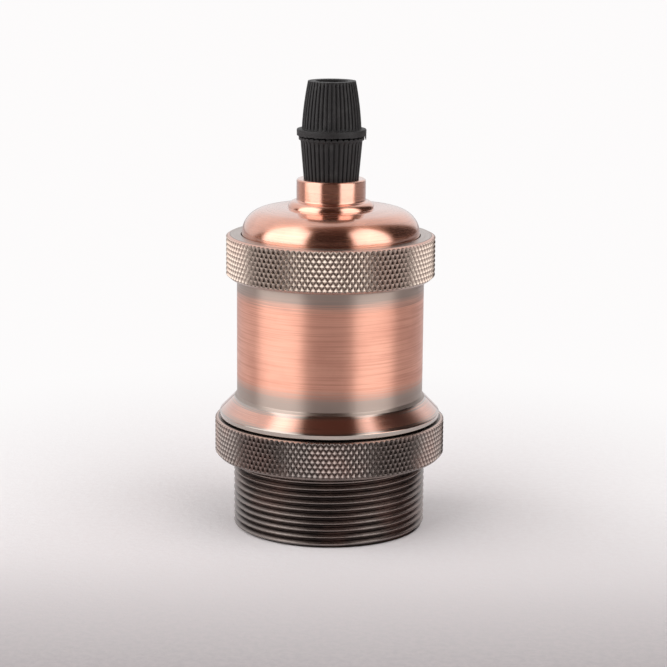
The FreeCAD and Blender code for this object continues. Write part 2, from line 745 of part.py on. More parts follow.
def make_ceramic_base():
    """Upper porcelain, with the contact's recess below and the terminals' pockets above."""
    body = make_body("ceramic_base")
    tower = PORCELAIN_RADIUS - size("tower_step")
    turn(body, [
        (ZERO, CONTACT_FLOOR),
        (size("recess_radius"), CONTACT_FLOOR),
        (size("recess_radius"), size("sleeve_top")),
        (PORCELAIN_RADIUS, size("sleeve_top")),
        (PORCELAIN_RADIUS, SHOULDER),
        (tower, SHOULDER),
        (tower, TOWER_TOP),
        (ZERO, TOWER_TOP),
    ])
    depth = TOWER_TOP - POCKET_FLOOR
    margin = size("pocket_margin")
    outer = TERMINAL_RIGHT + margin
    inner = TERMINAL_LEFT - margin
    end = TERMINAL_END + margin
    link = STRAP_HALF + margin
    near = LIVE_NEAR - margin
    far = LIVE_FAR + margin
    for name, outline in (
        ("neutral_pocket", box_outline(inner, outer, -(NEUTRAL_END + margin), end)),
        ("live_pocket", box_outline(-outer, -inner, -end, far)),
        ("link_pocket", box_outline(-inner - margin, link, near, far)),
    ):
        sketch = attach_sketch(body, name + "_outline", "XY_Plane", TOWER_TOP)
        draw_outline(sketch, outline)
        cut_pocket(body, name, sketch, depth)
    blind = attach_sketch(body, "blind_pocket_outline", "XY_Plane", TOWER_TOP)
    draw_circle(blind, -RIVET_ACROSS, -RIVET_ALONG, size("rivet_head") + size("seat_gap"))
    cut_pocket(body, "blind_pocket", blind, depth)
    play = size("rivet_radius") + size("screw_play")
    holes = attach_sketch(body, "rivet_holes_outline", "XY_Plane", POCKET_FLOOR)
    draw_circle(holes, RIVET_ACROSS, -RIVET_ALONG, play)
    draw_circle(holes, -RIVET_ACROSS, -RIVET_ALONG, play)
    draw_circle(holes, ZERO, size("leaf_root"), play)
    cut_pocket(body, "rivet_holes", holes, POCKET_FLOOR - size("sleeve_top"))
    return body


def make_screw_shell():
    """Drawn shell that takes the lamp, with an inward flange at its top."""
    body = make_body("screw_shell")
    corner = size("shell_corner")
    outer_corner = corner + size("shell_wall")
    flange = size("sleeve_top") - size("shell_wall")
    flange_edge = RIVET_CIRCLE - size("rivet_head") - size("flange_edge")
    mouth = size("nose_recess") + size("shell_recess")
    turn(body, [
        (size("shell_radius"), mouth),
        (SHELL_OUTSIDE, mouth),
        (SHELL_OUTSIDE, size("sleeve_top") - outer_corner),
        (SHELL_OUTSIDE - outer_corner, size("sleeve_top")),
        (flange_edge, size("sleeve_top")),
        (flange_edge, flange),
        (size("shell_radius") - corner, flange),
        (size("shell_radius"), flange - corner),
    ], {2: (outer_corner, 1), 6: (corner, -1)})
    holes = attach_sketch(body, "flange_holes_outline", "XY_Plane", size("sleeve_top"))
    play = size("rivet_radius") + size("screw_play")
    for across in (RIVET_ACROSS, -RIVET_ACROSS):
        draw_circle(holes, across, -RIVET_ALONG, play)
    cut_pocket(body, "flange_holes", holes, size("shell_wall") * 2)
    return body


def make_centre_contact():
    """Sprung leaf under the floor, dished where the lamp's centre presses it."""
    body = make_body("centre_contact")
    thick = size("leaf_thickness")
    half = size("leaf_width") / 2
    dish = size("leaf_dish")
    root_top = CONTACT_FLOOR - size("leaf_play")
    tail = size("leaf_root") + size("rivet_radius") + size("leaf_play") + thick * 2
    knee = size("leaf_root") - size("rivet_head") - size("leaf_play")
    tip = root_top - size("leaf_drop")
    sketch = attach_sketch(body, "leaf_side", "YZ_Plane", -half)
    draw_outline(sketch, [
        (tail, root_top - thick),
        (tail, root_top),
        (knee, root_top),
        (dish, tip),
        (-dish, tip),
        (-dish - thick * 2, tip + thick * 2),
        (-dish - thick * 3, tip + thick * 2),
        (-dish - thick, tip - thick),
        (dish, tip - thick),
        (knee, root_top - thick),
    ])
    raise_pad(body, "leaf", sketch, size("leaf_width"))
    hole = attach_sketch(body, "leaf_hole_outline", "XY_Plane", root_top)
    draw_circle(hole, ZERO, size("leaf_root"), size("rivet_radius") + size("leaf_play"))
    cut_pocket(body, "leaf_hole", hole, thick * 2)
    return body


def make_rivet(body, across, along, low, high, name):
    """Add one rivet: a head under low, a shank, and a head over high."""
    head = size("rivet_head_height")
    for part, radius, start, length in (
        ("shank", size("rivet_radius"), low, high - low),
        ("foot", size("rivet_head"), low - head, head),
        ("top", size("rivet_head"), high, head),
    ):
        sketch = attach_sketch(body, "%s_%s_outline" % (name, part), "XY_Plane", start)
        draw_circle(sketch, across, along, radius)
        raise_pad(body, "%s_%s" % (name, part), sketch, length)


def make_contact_rivet():
    body = make_body("contact_rivet")
    low = CONTACT_FLOOR - size("leaf_play") * 2 - size("leaf_thickness")
    high = POCKET_FLOOR + size("strap_thickness")
    make_rivet(body, ZERO, size("leaf_root"), low, high, "contact_rivet")
    return body


def cylinder(name, radius, height, across, along, start):
    """Place a plain upright cylinder whose sizes follow the sheet."""
    solid = doc.addObject("Part::Cylinder", name)
    for field, length in (("Radius", radius), ("Height", height)):
        setattr(solid, field, length.value)
        solid.setExpression(field, length.text)
    solid.Placement.Base = FreeCAD.Vector(across.value, along.value, start.value)
    for field, length in (("x", across), ("y", along), ("z", start)):
        solid.setExpression("Placement.Base.%s" % field, length.text)
    return solid


def make_shell_rivets():
    """Two rivets that hold the screw shell, one of them on the neutral strap."""
    head = size("rivet_head_height")
    low = size("sleeve_top") - size("shell_wall")
    rivets = []
    for name, across, high in (
        ("strap_rivet", RIVET_ACROSS, POCKET_FLOOR + size("strap_thickness")),
        ("blind_rivet", -RIVET_ACROSS, POCKET_FLOOR),
    ):
        rivet = doc.addObject("Part::MultiFuse", name)
        rivet.Shapes = [
            cylinder(name + "_foot", size("rivet_head"), head, across, -RIVET_ALONG, low - head),
            cylinder(name + "_shank", size("rivet_radius"), high - low, across, -RIVET_ALONG, low),
            cylinder(name + "_top", size("rivet_head"), head, across, -RIVET_ALONG, high),
        ]
        rivets.append(rivet)
    group = doc.addObject("Part::Compound", "shell_rivets")
    group.Label = "shell_rivets"
    group.Links = rivets
    return group


def make_strap(label, outline, rivet_across, rivet_along):
    """Flat strap under a terminal, held at its other end by a rivet."""
    body = make_body(label)
    sketch = attach_sketch(body, label + "_outline", "XY_Plane", POCKET_FLOOR)
    draw_outline(sketch, outline)
    raise_pad(body, label + "_plate", sketch, size("strap_thickness"))
    hole = attach_sketch(body, label + "_hole_outline", "XY_Plane", POCKET_FLOOR)
    draw_circle(hole, rivet_across, rivet_along, size("rivet_radius") + size("screw_play"))
    cut_pocket(body, label + "_hole", hole, size("strap_thickness"), upwards=True)
    return body


def make_neutral_strap():
    outline = box_outline(STRAP_LEFT, STRAP_RIGHT, -NEUTRAL_END, TERMINAL_END)
    return make_strap("neutral_strap", outline, RIVET_ACROSS, -RIVET_ALONG)


def make_live_strap():
    outline = [
        (-STRAP_RIGHT, -TERMINAL_END),
        (-STRAP_LEFT, -TERMINAL_END),
        (-STRAP_LEFT, LIVE_NEAR),
        (STRAP_HALF, LIVE_NEAR),
        (STRAP_HALF, LIVE_FAR),
        (-STRAP_RIGHT, LIVE_FAR),
    ]
    return make_strap("live_strap", outline, ZERO, size("leaf_root"))


TERMINAL_BOTTOM = POCKET_FLOOR + size("strap_thickness")
TERMINAL_TOP = TERMINAL_BOTTOM + size("terminal_height")


def make_terminal(label, side):
    """Brass block with a cross hole for the wire and a threaded hole from above."""
    body = make_body(label)
    centre = TERMINAL_OFFSET * side
    half = size("terminal_width") / 2
    sketch = attach_sketch(body, label + "_outline", "XY_Plane", TERMINAL_BOTTOM)
    draw_outline(sketch, box_outline(centre - half, centre + half, -TERMINAL_END, TERMINAL_END))
    raise_pad(body, label + "_block", sketch, size("terminal_height"))
    wire = attach_sketch(body, label + "_wire_outline", "XZ_Plane")
    wire_height = TERMINAL_BOTTOM + size("wire_hole") + size("pocket_margin")
    draw_circle(wire, centre, wire_height, size("wire_hole"))
    cut_through(body, label + "_wire_hole", wire)
    screw = attach_sketch(body, label + "_screw_outline", "XY_Plane", TERMINAL_TOP)
    draw_circle(screw, centre, ZERO, size("screw_radius") + size("screw_play"))
    cut_pocket(body, label + "_screw_hole", screw, TERMINAL_TOP - wire_height)
    return body


def make_terminal_screw(label, side):
    """Slotted screw that clamps the wire in a terminal."""
    body = make_body(label)
    centre = TERMINAL_OFFSET * side
    shank_bottom = TERMINAL_BOTTOM + size("wire_hole") * 2 + size("pocket_margin")
    shank = attach_sketch(body, label + "_shank_outline", "XY_Plane", shank_bottom)
    draw_circle(shank, centre, ZERO, size("screw_radius"))
    raise_pad(body, label + "_shank", shank, TERMINAL_TOP - shank_bottom)
    head = attach_sketch(body, label + "_head_outline", "XY_Plane", TERMINAL_TOP)
    draw_circle(head, centre, ZERO, size("screw_head"))
    raise_pad(body, label + "_head", head, size("screw_head_height"))
    slot = attach_sketch(body, label + "_slot_outline", "XY_Plane",
                         TERMINAL_TOP + size("screw_head_height"))
    half = size("screw_slot") / 2
    reach = size("screw_head") + size("screw_slot")
    draw_outline(slot, box_outline(centre - half, centre + half, -reach, reach))
    cut_pocket(body, label + "_slot", slot, size("screw_slot"))
    return body


def make_retaining_ring():
    """Split spring ring that snaps into the barrel's groove over the porcelain."""
    body = make_body("retaining_ring")
    outside = GROOVE_RADIUS - size("thread_fit")
    inside = outside - size("spring_width")
    turn(body, [
        (inside, SHOULDER),
        (outside, SHOULDER),
        (outside, SHOULDER + size("spring_thickness")),
        (inside, SHOULDER + size("spring_thickness")),
    ])
    half = size("spring_split") / 2
    split = attach_sketch(body, "split_outline", "XY_Plane", SHOULDER + size("spring_thickness"))
    draw_outline(split, box_outline(-half, half, inside / 2, outside + half))
    cut_pocket(body, "split", split, size("spring_thickness") * 2)
    return body


BOSS_BOTTOM = (
    SHOULDER_Z
    + (size("shoulder_radius") - size("cap_wall")) * sine(size("shoulder_angle"))
    - size("boss_height")
)
WASHER_BOTTOM = BOSS_BOTTOM - size("washer_thickness")


def make_earth_washer():
    body = make_body("earth_washer")
    sketch = attach_sketch(body, "washer_outline", "XY_Plane", WASHER_BOTTOM)
    draw_circle(sketch, -BOSS_OFFSET, ZERO, size("washer_radius"))
    draw_circle(sketch, -BOSS_OFFSET, ZERO, size("earth_radius") + size("screw_play"))
    raise_pad(body, "washer", sketch, size("washer_thickness"))
    return body


def make_earth_screw():
    """Earth screw, driven up into the cap's boss."""
    body = make_body("earth_screw")
    across = -BOSS_OFFSET
    head_bottom = WASHER_BOTTOM - size("earth_head_height")
    head = attach_sketch(body, "earth_head_outline", "XY_Plane", head_bottom)
    draw_circle(head, across, ZERO, size("earth_head"))
    raise_pad(body, "earth_head", head, size("earth_head_height"))
    shank = attach_sketch(body, "earth_shank_outline", "XY_Plane", WASHER_BOTTOM)
    draw_circle(shank, across, ZERO, size("earth_radius"))
    raise_pad(body, "earth_shank", shank, size("washer_thickness") + size("earth_length"))
    slot = attach_sketch(body, "earth_slot_outline", "XY_Plane", head_bottom)
    half = size("screw_slot") / 2
    reach = size("earth_head") + size("screw_slot")
    draw_outline(slot, box_outline(across - half, across + half, -reach, reach))
    cut_pocket(body, "earth_slot", slot, size("screw_slot"), upwards=True)
    return body


pieces = [
    make_barrel(),
    make_shade_ring(),
    make_lock_ring(),
    make_cap(),
    make_grip_body(),
    make_grip_nut(),
    make_ceramic_sleeve(),
    make_ceramic_base(),
    make_screw_shell(),
    make_centre_contact(),
    make_contact_rivet(),
    make_shell_rivets(),
    make_live_strap(),
    make_neutral_strap(),
    make_terminal("live_terminal", -1),
    make_terminal("neutral_terminal", 1),
    make_terminal_screw("live_screw", -1),
    make_terminal_screw("neutral_screw", 1),
    make_retaining_ring(),
    make_earth_washer(),
    make_earth_screw(),
]
doc.recompute()


def check_document():
    """Stop if any object failed, any pocket cut nothing or any piece is not a sound solid."""
    for item in doc.Objects:
        if "Invalid" in item.State or "Error" in item.State:
            raise RuntimeError("%s failed: %s" % (item.Label, item.State))
        if item.TypeId == "PartDesign::Pocket":
            before = item.BaseFeature.Shape.Volume
            if item.Shape.Volume > before - 1e-6:
                raise RuntimeError("%s cut nothing" % item.Label)
    for piece in pieces:
        if piece.Shape.isNull() or not piece.Shape.isValid():
            raise RuntimeError("%s has no valid shape" % piece.Label)


check_document()
os.makedirs("parts", exist_ok=True)
for piece in pieces:
    piece.Shape.exportStep(os.path.join("parts", piece.Label + ".step"))
    print("%-18s %8.1f mm3" % (piece.Label, piece.Shape.Volume))
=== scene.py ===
"""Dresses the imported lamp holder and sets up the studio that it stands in.

Sections are given in millimetres as (radius, height) pairs, with heights from the rim of the skirt.
Meshes are made in metres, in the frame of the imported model.
"""

import logging
import math
from collections.abc import Callable, Iterable
from dataclasses import dataclass
from enum import Enum

import bmesh
import bpy
from bmesh.types import BMEdge, BMesh, BMFace, BMVert
from bpy.types import Camera, Light, Material, Mesh, Node, NodeSocket, NodeTree, Object
from mathutils import Matrix, Vector


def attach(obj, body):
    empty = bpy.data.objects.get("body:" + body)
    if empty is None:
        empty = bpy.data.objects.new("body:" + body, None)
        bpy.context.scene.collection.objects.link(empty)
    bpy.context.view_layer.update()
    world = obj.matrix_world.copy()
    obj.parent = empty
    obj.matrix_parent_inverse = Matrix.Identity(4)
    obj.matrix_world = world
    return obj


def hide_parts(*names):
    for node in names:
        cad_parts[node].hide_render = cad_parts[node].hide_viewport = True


LOG = logging.getLogger("lamp_holder")
MM = 0.001
TURN = 2 * math.pi
TINY = 1e-7
MERGE = 2 * TINY
SLIVER = TINY / 10
Section = list[tuple[float, float]]
Colour = tuple[float, float, float]

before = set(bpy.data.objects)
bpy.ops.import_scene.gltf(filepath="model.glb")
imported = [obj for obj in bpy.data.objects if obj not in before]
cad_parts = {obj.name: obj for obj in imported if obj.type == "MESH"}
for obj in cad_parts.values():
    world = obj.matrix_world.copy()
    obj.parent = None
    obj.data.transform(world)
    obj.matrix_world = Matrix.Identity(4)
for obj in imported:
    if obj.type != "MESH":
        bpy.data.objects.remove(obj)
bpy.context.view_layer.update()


class Body(Enum):
    """The bodies that the pieces ride on."""

    HOLDER = "holder"
    SHADE_RING = "shade_ring"
    LOCK_RING = "lock_ring"
    GRIP_NUT = "grip_nut"
    CONTACT = "centre_contact"


def arc(centre: tuple[float, float], radius: float, start: float, end: float, steps: int) -> Section:
    """Points along an arc of a section.

    Args:
        centre: radius and height of the arc's centre, in mm.
        radius: of the arc, in mm.
        start: first angle in degrees, from the outward direction.
        end: last angle in degrees.
        steps: how many stretches the arc has.

    Returns:
        The points, both ends included.
    """
    points = []
    for step in range(steps + 1):
        angle = math.radians(start + (end - start) * step / steps)
        points.append((centre[0] + radius * math.cos(angle), centre[1] + radius * math.sin(angle)))
    return points


def bulge(start: tuple[float, float], end: tuple[float, float], radius: float, steps: int) -> Section:
    """Points on an arc that bows outwards and upwards between two points.

    Args:
        start: first point, in mm.
        end: last point, in mm.
        radius: of the arc, in mm.
        steps: how many stretches the arc has.

    Returns:
        The points, both ends included.
    """
    first, last = Vector(start), Vector(end)
    half = (last - first) / 2
    normal = Vector((-half.y, half.x)).normalized()
    centre = first + half + normal * math.sqrt(max(radius**2 - half.length_squared, 0.0))
    begin, finish = (math.atan2(point.y - centre.y, point.x - centre.x) for point in (first, last))
    turn = (finish - begin + math.pi) % TURN - math.pi
    return arc(tuple(centre), radius, math.degrees(begin), math.degrees(begin + turn), steps)


def whole(work: BMesh) -> list[BMVert | BMEdge | BMFace]:
    """Every part of a mesh, as the mesh operators take it."""
    return [*work.verts, *work.edges, *work.faces]


class Turning:
    """A closed section that is spun round the axis."""

    def __init__(self, section: Section, edge: float, steps: int) -> None:
        """Keep the section.

        Args:
            section: corners in order, in mm.
            edge: width of the small round on each sharp corner, in mm.
            steps: how many faces go round.
        """
        self.section = section
        self.edge = edge
        self.steps = steps

    def mesh(self) -> BMesh:
        """Round the section's corners, spin it and return the closed mesh."""
        work = bmesh.new()
        corners = [work.verts.new((r * MM, 0, z * MM)) for r, z in self.section]
        face = work.faces.new(corners)
        sharp = [v for v in corners if v.co.x > TINY and self.turns(face, v)]
        bmesh.ops.bevel(work, geom=sharp, offset=self.edge * MM, affect="VERTICES", segments=3,
                        profile=0.5, material=-1, clamp_overlap=True)
        on_axis = [e for e in work.edges if all(abs(v.co.x) < TINY for v in e.verts)]
        bmesh.ops.delete(work, geom=list(work.faces), context="FACES_ONLY")
        bmesh.ops.delete(work, geom=on_axis, context="EDGES")
        bmesh.ops.spin(work, geom=whole(work), cent=(0, 0, 0), axis=(0, 0, 1), angle=TURN,
                       steps=self.steps, use_merge=True)
        bmesh.ops.remove_doubles(work, verts=list(work.verts), dist=TINY)
        bmesh.ops.recalc_face_normals(work, faces=list(work.faces))
        return work

    @staticmethod
    def turns(face: BMFace, corner: BMVert) -> bool:
        """Whether the section turns by more than 20 degrees at a corner."""
        loop = next(loop for loop in face.loops if loop.vert == corner)
        return abs(loop.calc_angle() - math.pi) > math.radians(20)


def clean(work: BMesh) -> None:
    """Merge points that coincide and drop faces without an area."""
    bmesh.ops.remove_doubles(work, verts=list(work.verts), dist=MERGE)
    bmesh.ops.dissolve_degenerate(work, dist=SLIVER, edges=list(work.edges))


class Roll:
    """A patterned strip that is worked flat and then rolled into a ring.

    Flat, a point's x is its share of a turn, y is its height and z its radius, both in metres.
    """

    def __init__(self, columns: int, rows: int, spare: int = 0) -> None:
        """Lay out the flat strip.

        Args:
            columns: how many cells go round.
            rows: how many cells go up.
            spare: how many more columns each end has, until the strip is trimmed.
        """
        self.work = bmesh.new()
        self.columns = columns
        across = columns + 2 * spare
        bmesh.ops.create_grid(self.work, x_segments=across, y_segments=rows, size=0.5)
        for vert in self.work.verts:
            vert.co.x = (vert.co.x + 0.5) * across - spare
            vert.co.y = (vert.co.y + 0.5) * rows

    def shape(self, place: Callable[[int, int], tuple[float, float]]) -> None:
        """Give each point its height and radius.

        Args:
            place: takes the column and row, and returns height and radius in mm.
        """
        for vert in self.work.verts:
            column, row = round(vert.co.x), round(vert.co.y)
            height, radius = place(column, row)
            vert.co = (column / self.columns, height * MM, radius * MM)

    def cut(self, first: tuple[float, float], second: tuple[float, float]) -> None:
        """Cut the strip along a cone, which is a plane while the strip is flat.

        Args:
            first: radius and height of one point of the cone's side, in mm.
            second: the next point, with the part that is cut away on the right of the way to it.
        """
        away = Vector((0, first[0] - second[0], second[1] - first[1])).normalized()
        self.split((0, first[1] * MM, first[0] * MM), away)

    def trim(self) -> None:
        """Cut off the spare columns, so that the strip's ends are the same."""
        start = 0.3 / self.columns
        self.split((start, 0, 0), (-1, 0, 0))
        self.split((1 + start, 0, 0), (1, 0, 0))

    def split(self, place: Iterable[float], away: Iterable[float]) -> None:
        """Cut the flat strip along a plane and drop what lies beyond it."""
        bmesh.ops.bisect_plane(
            self.work, geom=whole(self.work), plane_co=place, plane_no=away, dist=SLIVER, clear_outer=True)

    def sides(self) -> tuple[list[BMEdge], list[BMEdge]]:
        """The open edges along the strip's lower side, and those along its upper side."""
        heights = [v.co.y for v in self.work.verts]
        middle = (min(heights) + max(heights)) / 2
        places = [v.co.x for v in self.work.verts]
        left, right = min(places) + 10 * TINY, max(places) - 10 * TINY
        rims = [e for e in self.work.edges if e.is_boundary and any(left < v.co.x < right for v in e.verts)]
        return ([e for e in rims if e.verts[0].co.y <= middle],
                [e for e in rims if e.verts[0].co.y > middle])

    def extend(self, border: Iterable[BMEdge], points: Section) -> list[BMEdge]:
        """Extrude a border through the points of a section.

        Args:
            border: edges to start from.
            points: radius and height of each next line, in mm.

        Returns:
            The edges of the last line.
        """
        edges = list(border)
        for radius, height in points:
            made = bmesh.ops.extrude_edge_only(self.work, edges=edges)["geom"]
            edges = [item for item in made if isinstance(item, BMEdge)]
            for vert in {v for e in edges for v in e.verts}:
                vert.co.y = height * MM
                vert.co.z = radius * MM
        return edges

    def close(self, below: Section, above: Section,
              sides: tuple[list[BMEdge], list[BMEdge]] | None = None) -> BMesh:
        """Carry both sides on through their sections, join them and roll the strip up.

        Args:
            below: radius and height of each line that follows the lower side, in mm.
            above: the same for the upper side.
            sides: the two sides, where they can't be told apart by their heights.

        Returns:
            The closed mesh.
        """
        low, high = sides or self.sides()
        ends = self.extend(low, below) + self.extend(high, above)
        bmesh.ops.bridge_loops(self.work, edges=ends)
        for vert in self.work.verts:
            angle = vert.co.x * TURN
            height, radius = vert.co.y, vert.co.z
            vert.co = (radius * math.cos(angle), radius * math.sin(angle), height)
        clean(self.work)
        bmesh.ops.recalc_face_normals(self.work, faces=list(self.work.faces))
        return self.work


def to_mesh(name: str, work: BMesh) -> Mesh:
    """Turn a working mesh, which is freed, into a stored one."""
    mesh = bpy.data.meshes.new(name)
    work.to_mesh(mesh)
    work.free()
    return mesh


def to_scene(name: str, data: Mesh | Camera | Light) -> Object:
    """Make an object and link it to the scene."""
    item = bpy.data.objects.new(name, data)
    bpy.context.scene.collection.objects.link(item)
    return item


def carve(work: BMesh, tool: BMesh) -> BMesh:
    """Cut a tool's volume out of a mesh.

    Args:
        work: the mesh to cut, freed here.
        tool: a closed mesh, freed here.

    Returns:
        The mesh that is left.
    """
    carved = to_scene("carved", to_mesh("carved", work))
    cutter = to_scene("carving_tool", to_mesh("carving_tool", tool))
    cut = carved.modifiers.new("carve", "BOOLEAN")
    cut.operation = "DIFFERENCE"
    cut.solver = "EXACT"
    cut.object = cutter
    evaluated = carved.evaluated_get(bpy.context.evaluated_depsgraph_get())
    result = bmesh.new()
    result.from_mesh(evaluated.to_mesh())
    evaluated.to_mesh_clear()
    clean(result)
    for mesh in (carved.data, cutter.data):
        bpy.data.meshes.remove(mesh)
    return result


def join_meshes(work: BMesh, other: BMesh) -> None:
    """Add another mesh to a mesh, and free the other."""
    mesh = to_mesh("joined", other)
    work.from_mesh(mesh)
    bpy.data.meshes.remove(mesh)


def finish_piece(name: str, work: BMesh, materials: list[Material],
                 body: Body, nodes: list[str],
                 choose: Callable[[BMFace], int] | None = None,
                 sharp: float = 35.0) -> Object:
    """Turn a mesh into a piece that rides on its body.

    Args:
        name: of the piece.
        work: its mesh, freed here.
        materials: the finishes on it.
        body: the body that it moves with.
        nodes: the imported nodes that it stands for.
        choose: gives a face's index among the finishes.
        sharp: faces that meet at more than this angle, in degrees, keep a hard edge.

    Returns:
        The new object.
    """
    for face in work.faces:
        face.smooth = True
        if choose:
            face.material_index = choose(face)
    for edge in work.edges:
        edge.smooth = len(edge.link_faces) == 2 and edge.calc_face_angle(0) < math.radians(sharp)
    mesh = to_mesh(name, work)
    for material in materials:
        mesh.materials.append(material)
    piece = to_scene(name, mesh)
    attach(piece, body.value)
    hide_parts(*nodes)
    LOG.info("%s: %d faces on %s", name, len(mesh.polygons), body.value)
    return piece


class Wiring:
    """Adds nodes to a tree and joins them."""

    def __init__(self, tree: NodeTree) -> None:
        """Keep the tree."""
        self.tree = tree

    def add(self, kind: str, **settings: object) -> Node:
        """Add a node and set its properties."""
        node = self.tree.nodes.new(kind)
        for key, value in settings.items():
            setattr(node, key, value)
        return node

    def put(self, target: NodeSocket, value: object) -> None:
        """Link an input to a socket, or set it to a value."""
        if isinstance(value, NodeSocket):
            self.tree.links.new(value, target)
        else:
            target.default_value = value

    def feed(self, node: Node, **inputs: object) -> Node:
        """Set or link a node's inputs, by name with spaces as underscores, and return the node."""
        for key, value in inputs.items():
            self.put(node.inputs[key.replace("_", " ")], value)
        return node

    def fed(self, kind: str, **inputs: object) -> Node:
        """Add a shader node of a kind, and set or link its inputs."""
        return self.feed(self.add("ShaderNode" + kind), **inputs)

    def maths(self, operation: str, *values: object) -> NodeSocket:
        """Add a Math node on up to three values and return its output."""
        node = self.add("ShaderNodeMath", operation=operation)
        for target, value in zip(node.inputs, values):
            self.put(target, value)
        return node.outputs[0]

    def ramp(self, value: NodeSocket, low: object, high: object,
             to_low: float = 0.0, to_high: float = 1.0) -> NodeSocket:
        """Bring a value smoothly from one range to another."""
        node = self.add("ShaderNodeMapRange", interpolation_type="SMOOTHSTEP", clamp=True)
        self.feed(node, Value=value, From_Min=low, From_Max=high, To_Min=to_low, To_Max=to_high)
        return node.outputs[0]

    def mix(self, factor: object, first: object, second: object) -> NodeSocket:
        """Mix two colours."""
        node = self.add("ShaderNodeMix", data_type="RGBA")
        self.put(node.inputs[0], factor)
        for target, colour in ((node.inputs[6], first), (node.inputs[7], second)):
            self.put(target, colour if isinstance(colour, NodeSocket) else (*colour, 1.0))
        return node.outputs[2]

    def polar(self, place: NodeSocket) -> tuple[NodeSocket, NodeSocket, NodeSocket, NodeSocket]:
        """Give a position's distance from the axis, and its x, y and z."""
        x, y, z = self.fed("SeparateXYZ", Vector=place).outputs
        square = self.maths("MULTIPLY", x, x)
        return self.maths("SQRT", self.maths("MULTIPLY_ADD", y, y, square)), x, y, z


def make_group(name: str, inputs: dict[str, float], output: str) -> tuple[
        NodeTree, Wiring, bpy.types.NodeOutputs, NodeSocket]:
    """Start a node group whose first input is a position.

    Args:
        name: of the group.
        inputs: name and default of each number that it takes.
        output: name of the number that it gives.

    Returns:
        The group, its wiring, what it takes by name, and the socket that takes its result.
    """
    tree = bpy.data.node_groups.new(name, "ShaderNodeTree")
    tree.interface.new_socket("Vector", in_out="INPUT", socket_type="NodeSocketVector")
    for key, number in inputs.items():
        socket = tree.interface.new_socket(key, in_out="INPUT", socket_type="NodeSocketFloat")
        socket.default_value = number
    tree.interface.new_socket(output, in_out="OUTPUT", socket_type="NodeSocketFloat")
    wiring = Wiring(tree)
    return tree, wiring, wiring.add("NodeGroupInput").outputs, wiring.add("NodeGroupOutput").inputs[output]


class Effects:
    """The shared node groups, each built once."""

    def __init__(self) -> None:
        """Build the groups."""
        self.turned_lines = self.build_turned_lines()
        self.mottle = self.build_mottle()
        self.band = self.build_band()
        self.reach = self.build_reach()

    @staticmethod
    def build_turned_lines() -> NodeTree:
        """Fine lines round the axis, as a lathe tool or a brush leaves them."""
        tree, wiring, taken, given = make_group("turned_lines", {"Across": 5000.0, "Along": 90.0}, "Lines")
        radius, x, y, height = wiring.polar(taken["Vector"])
        place = wiring.fed("CombineXYZ")
        noise = wiring.add("ShaderNodeTexNoise", noise_dimensions="4D")
        for target, part, scale in (
            (place.inputs[0], x, taken["Along"]),
            (place.inputs[1], y, taken["Along"]),
            (place.inputs[2], height, taken["Across"]),
            (noise.inputs["W"], radius, taken["Across"]),
        ):
            wiring.put(target, wiring.maths("MULTIPLY", part, scale))
        wiring.feed(noise, Vector=place.outputs[0], Scale=1.0, Detail=3.0, Roughness=0.6)
        wiring.put(given, noise.outputs[0])
        return tree

    @staticmethod
    def build_mottle() -> NodeTree:
        """Soft uneven patches, as tarnish and handling leave them."""
        tree, wiring, taken, given = make_group(
            "mottle", {"Scale": 120.0, "Low": 0.4, "High": 0.65}, "Patches")
        noise = wiring.fed("TexNoise", Vector=taken["Vector"], Scale=taken["Scale"], Detail=4.0,
                           Roughness=0.55)
        wiring.put(given, wiring.ramp(noise.outputs[0], taken["Low"], taken["High"]))
        return tree

    @staticmethod
    def build_band() -> NodeTree:
        """One between two heights, fading over the given width with a streaky edge."""
        tree, wiring, taken, given = make_group(
            "height_band", {"Bottom": 0.0, "Top": 0.01, "Fade": 0.001, "Streaks": 0.0}, "Inside")
        height = wiring.maths("ADD", wiring.polar(taken["Vector"])[3], taken["Streaks"])
        inside = [wiring.maths("DIVIDE", wiring.maths("SUBTRACT", more, less), taken["Fade"])
                  for more, less in ((height, taken["Bottom"]), (taken["Top"], height))]
        wiring.put(given, wiring.ramp(wiring.maths("MINIMUM", *inside), -0.5, 0.5))
        return tree

    @staticmethod
    def build_reach() -> NodeTree:
        """Zero at one radius and one at another, for crests and valleys."""
        tree, wiring, taken, given = make_group("reach", {"Low": 0.019, "High": 0.020}, "Share")
        wiring.put(given, wiring.ramp(wiring.polar(taken["Vector"])[0], taken["Low"], taken["High"]))
        return tree


class Recipe(Wiring):
    """A material while it is wired."""

    def __init__(self, name: str, metallic: float, effects: Effects) -> None:
        """Start a material on object coordinates.

        Args:
            name: of the material.
            metallic: 1 for bare or plated metal.
            effects: the shared groups.
        """
        self.material = bpy.data.materials.new(name)
        self.material.use_nodes = True
        super().__init__(self.material.node_tree)
        self.tree.nodes.clear()
        self.effects = effects
        self.shader = self.fed("BsdfPrincipled", Metallic=metallic)
        self.fed("OutputMaterial", Surface=self.shader.outputs[0])
        self.place = self.fed("Mapping", Vector=self.fed("TexCoord").outputs["Object"]).outputs[0]

    def effect(self, group: NodeTree, **inputs: object) -> NodeSocket:
        """Place a shared group on this material and return its output."""
        node = self.add("ShaderNodeGroup", node_tree=group)
        return self.feed(node, Vector=self.place, **inputs).outputs[0]

    def bump(self, height: NodeSocket, strength: float, depth: float) -> None:
        """Feed a bump into the surface."""
        node = self.fed("Bump", Height=height, Strength=strength, Distance=depth)
        self.feed(self.shader, Normal=node.outputs[0])


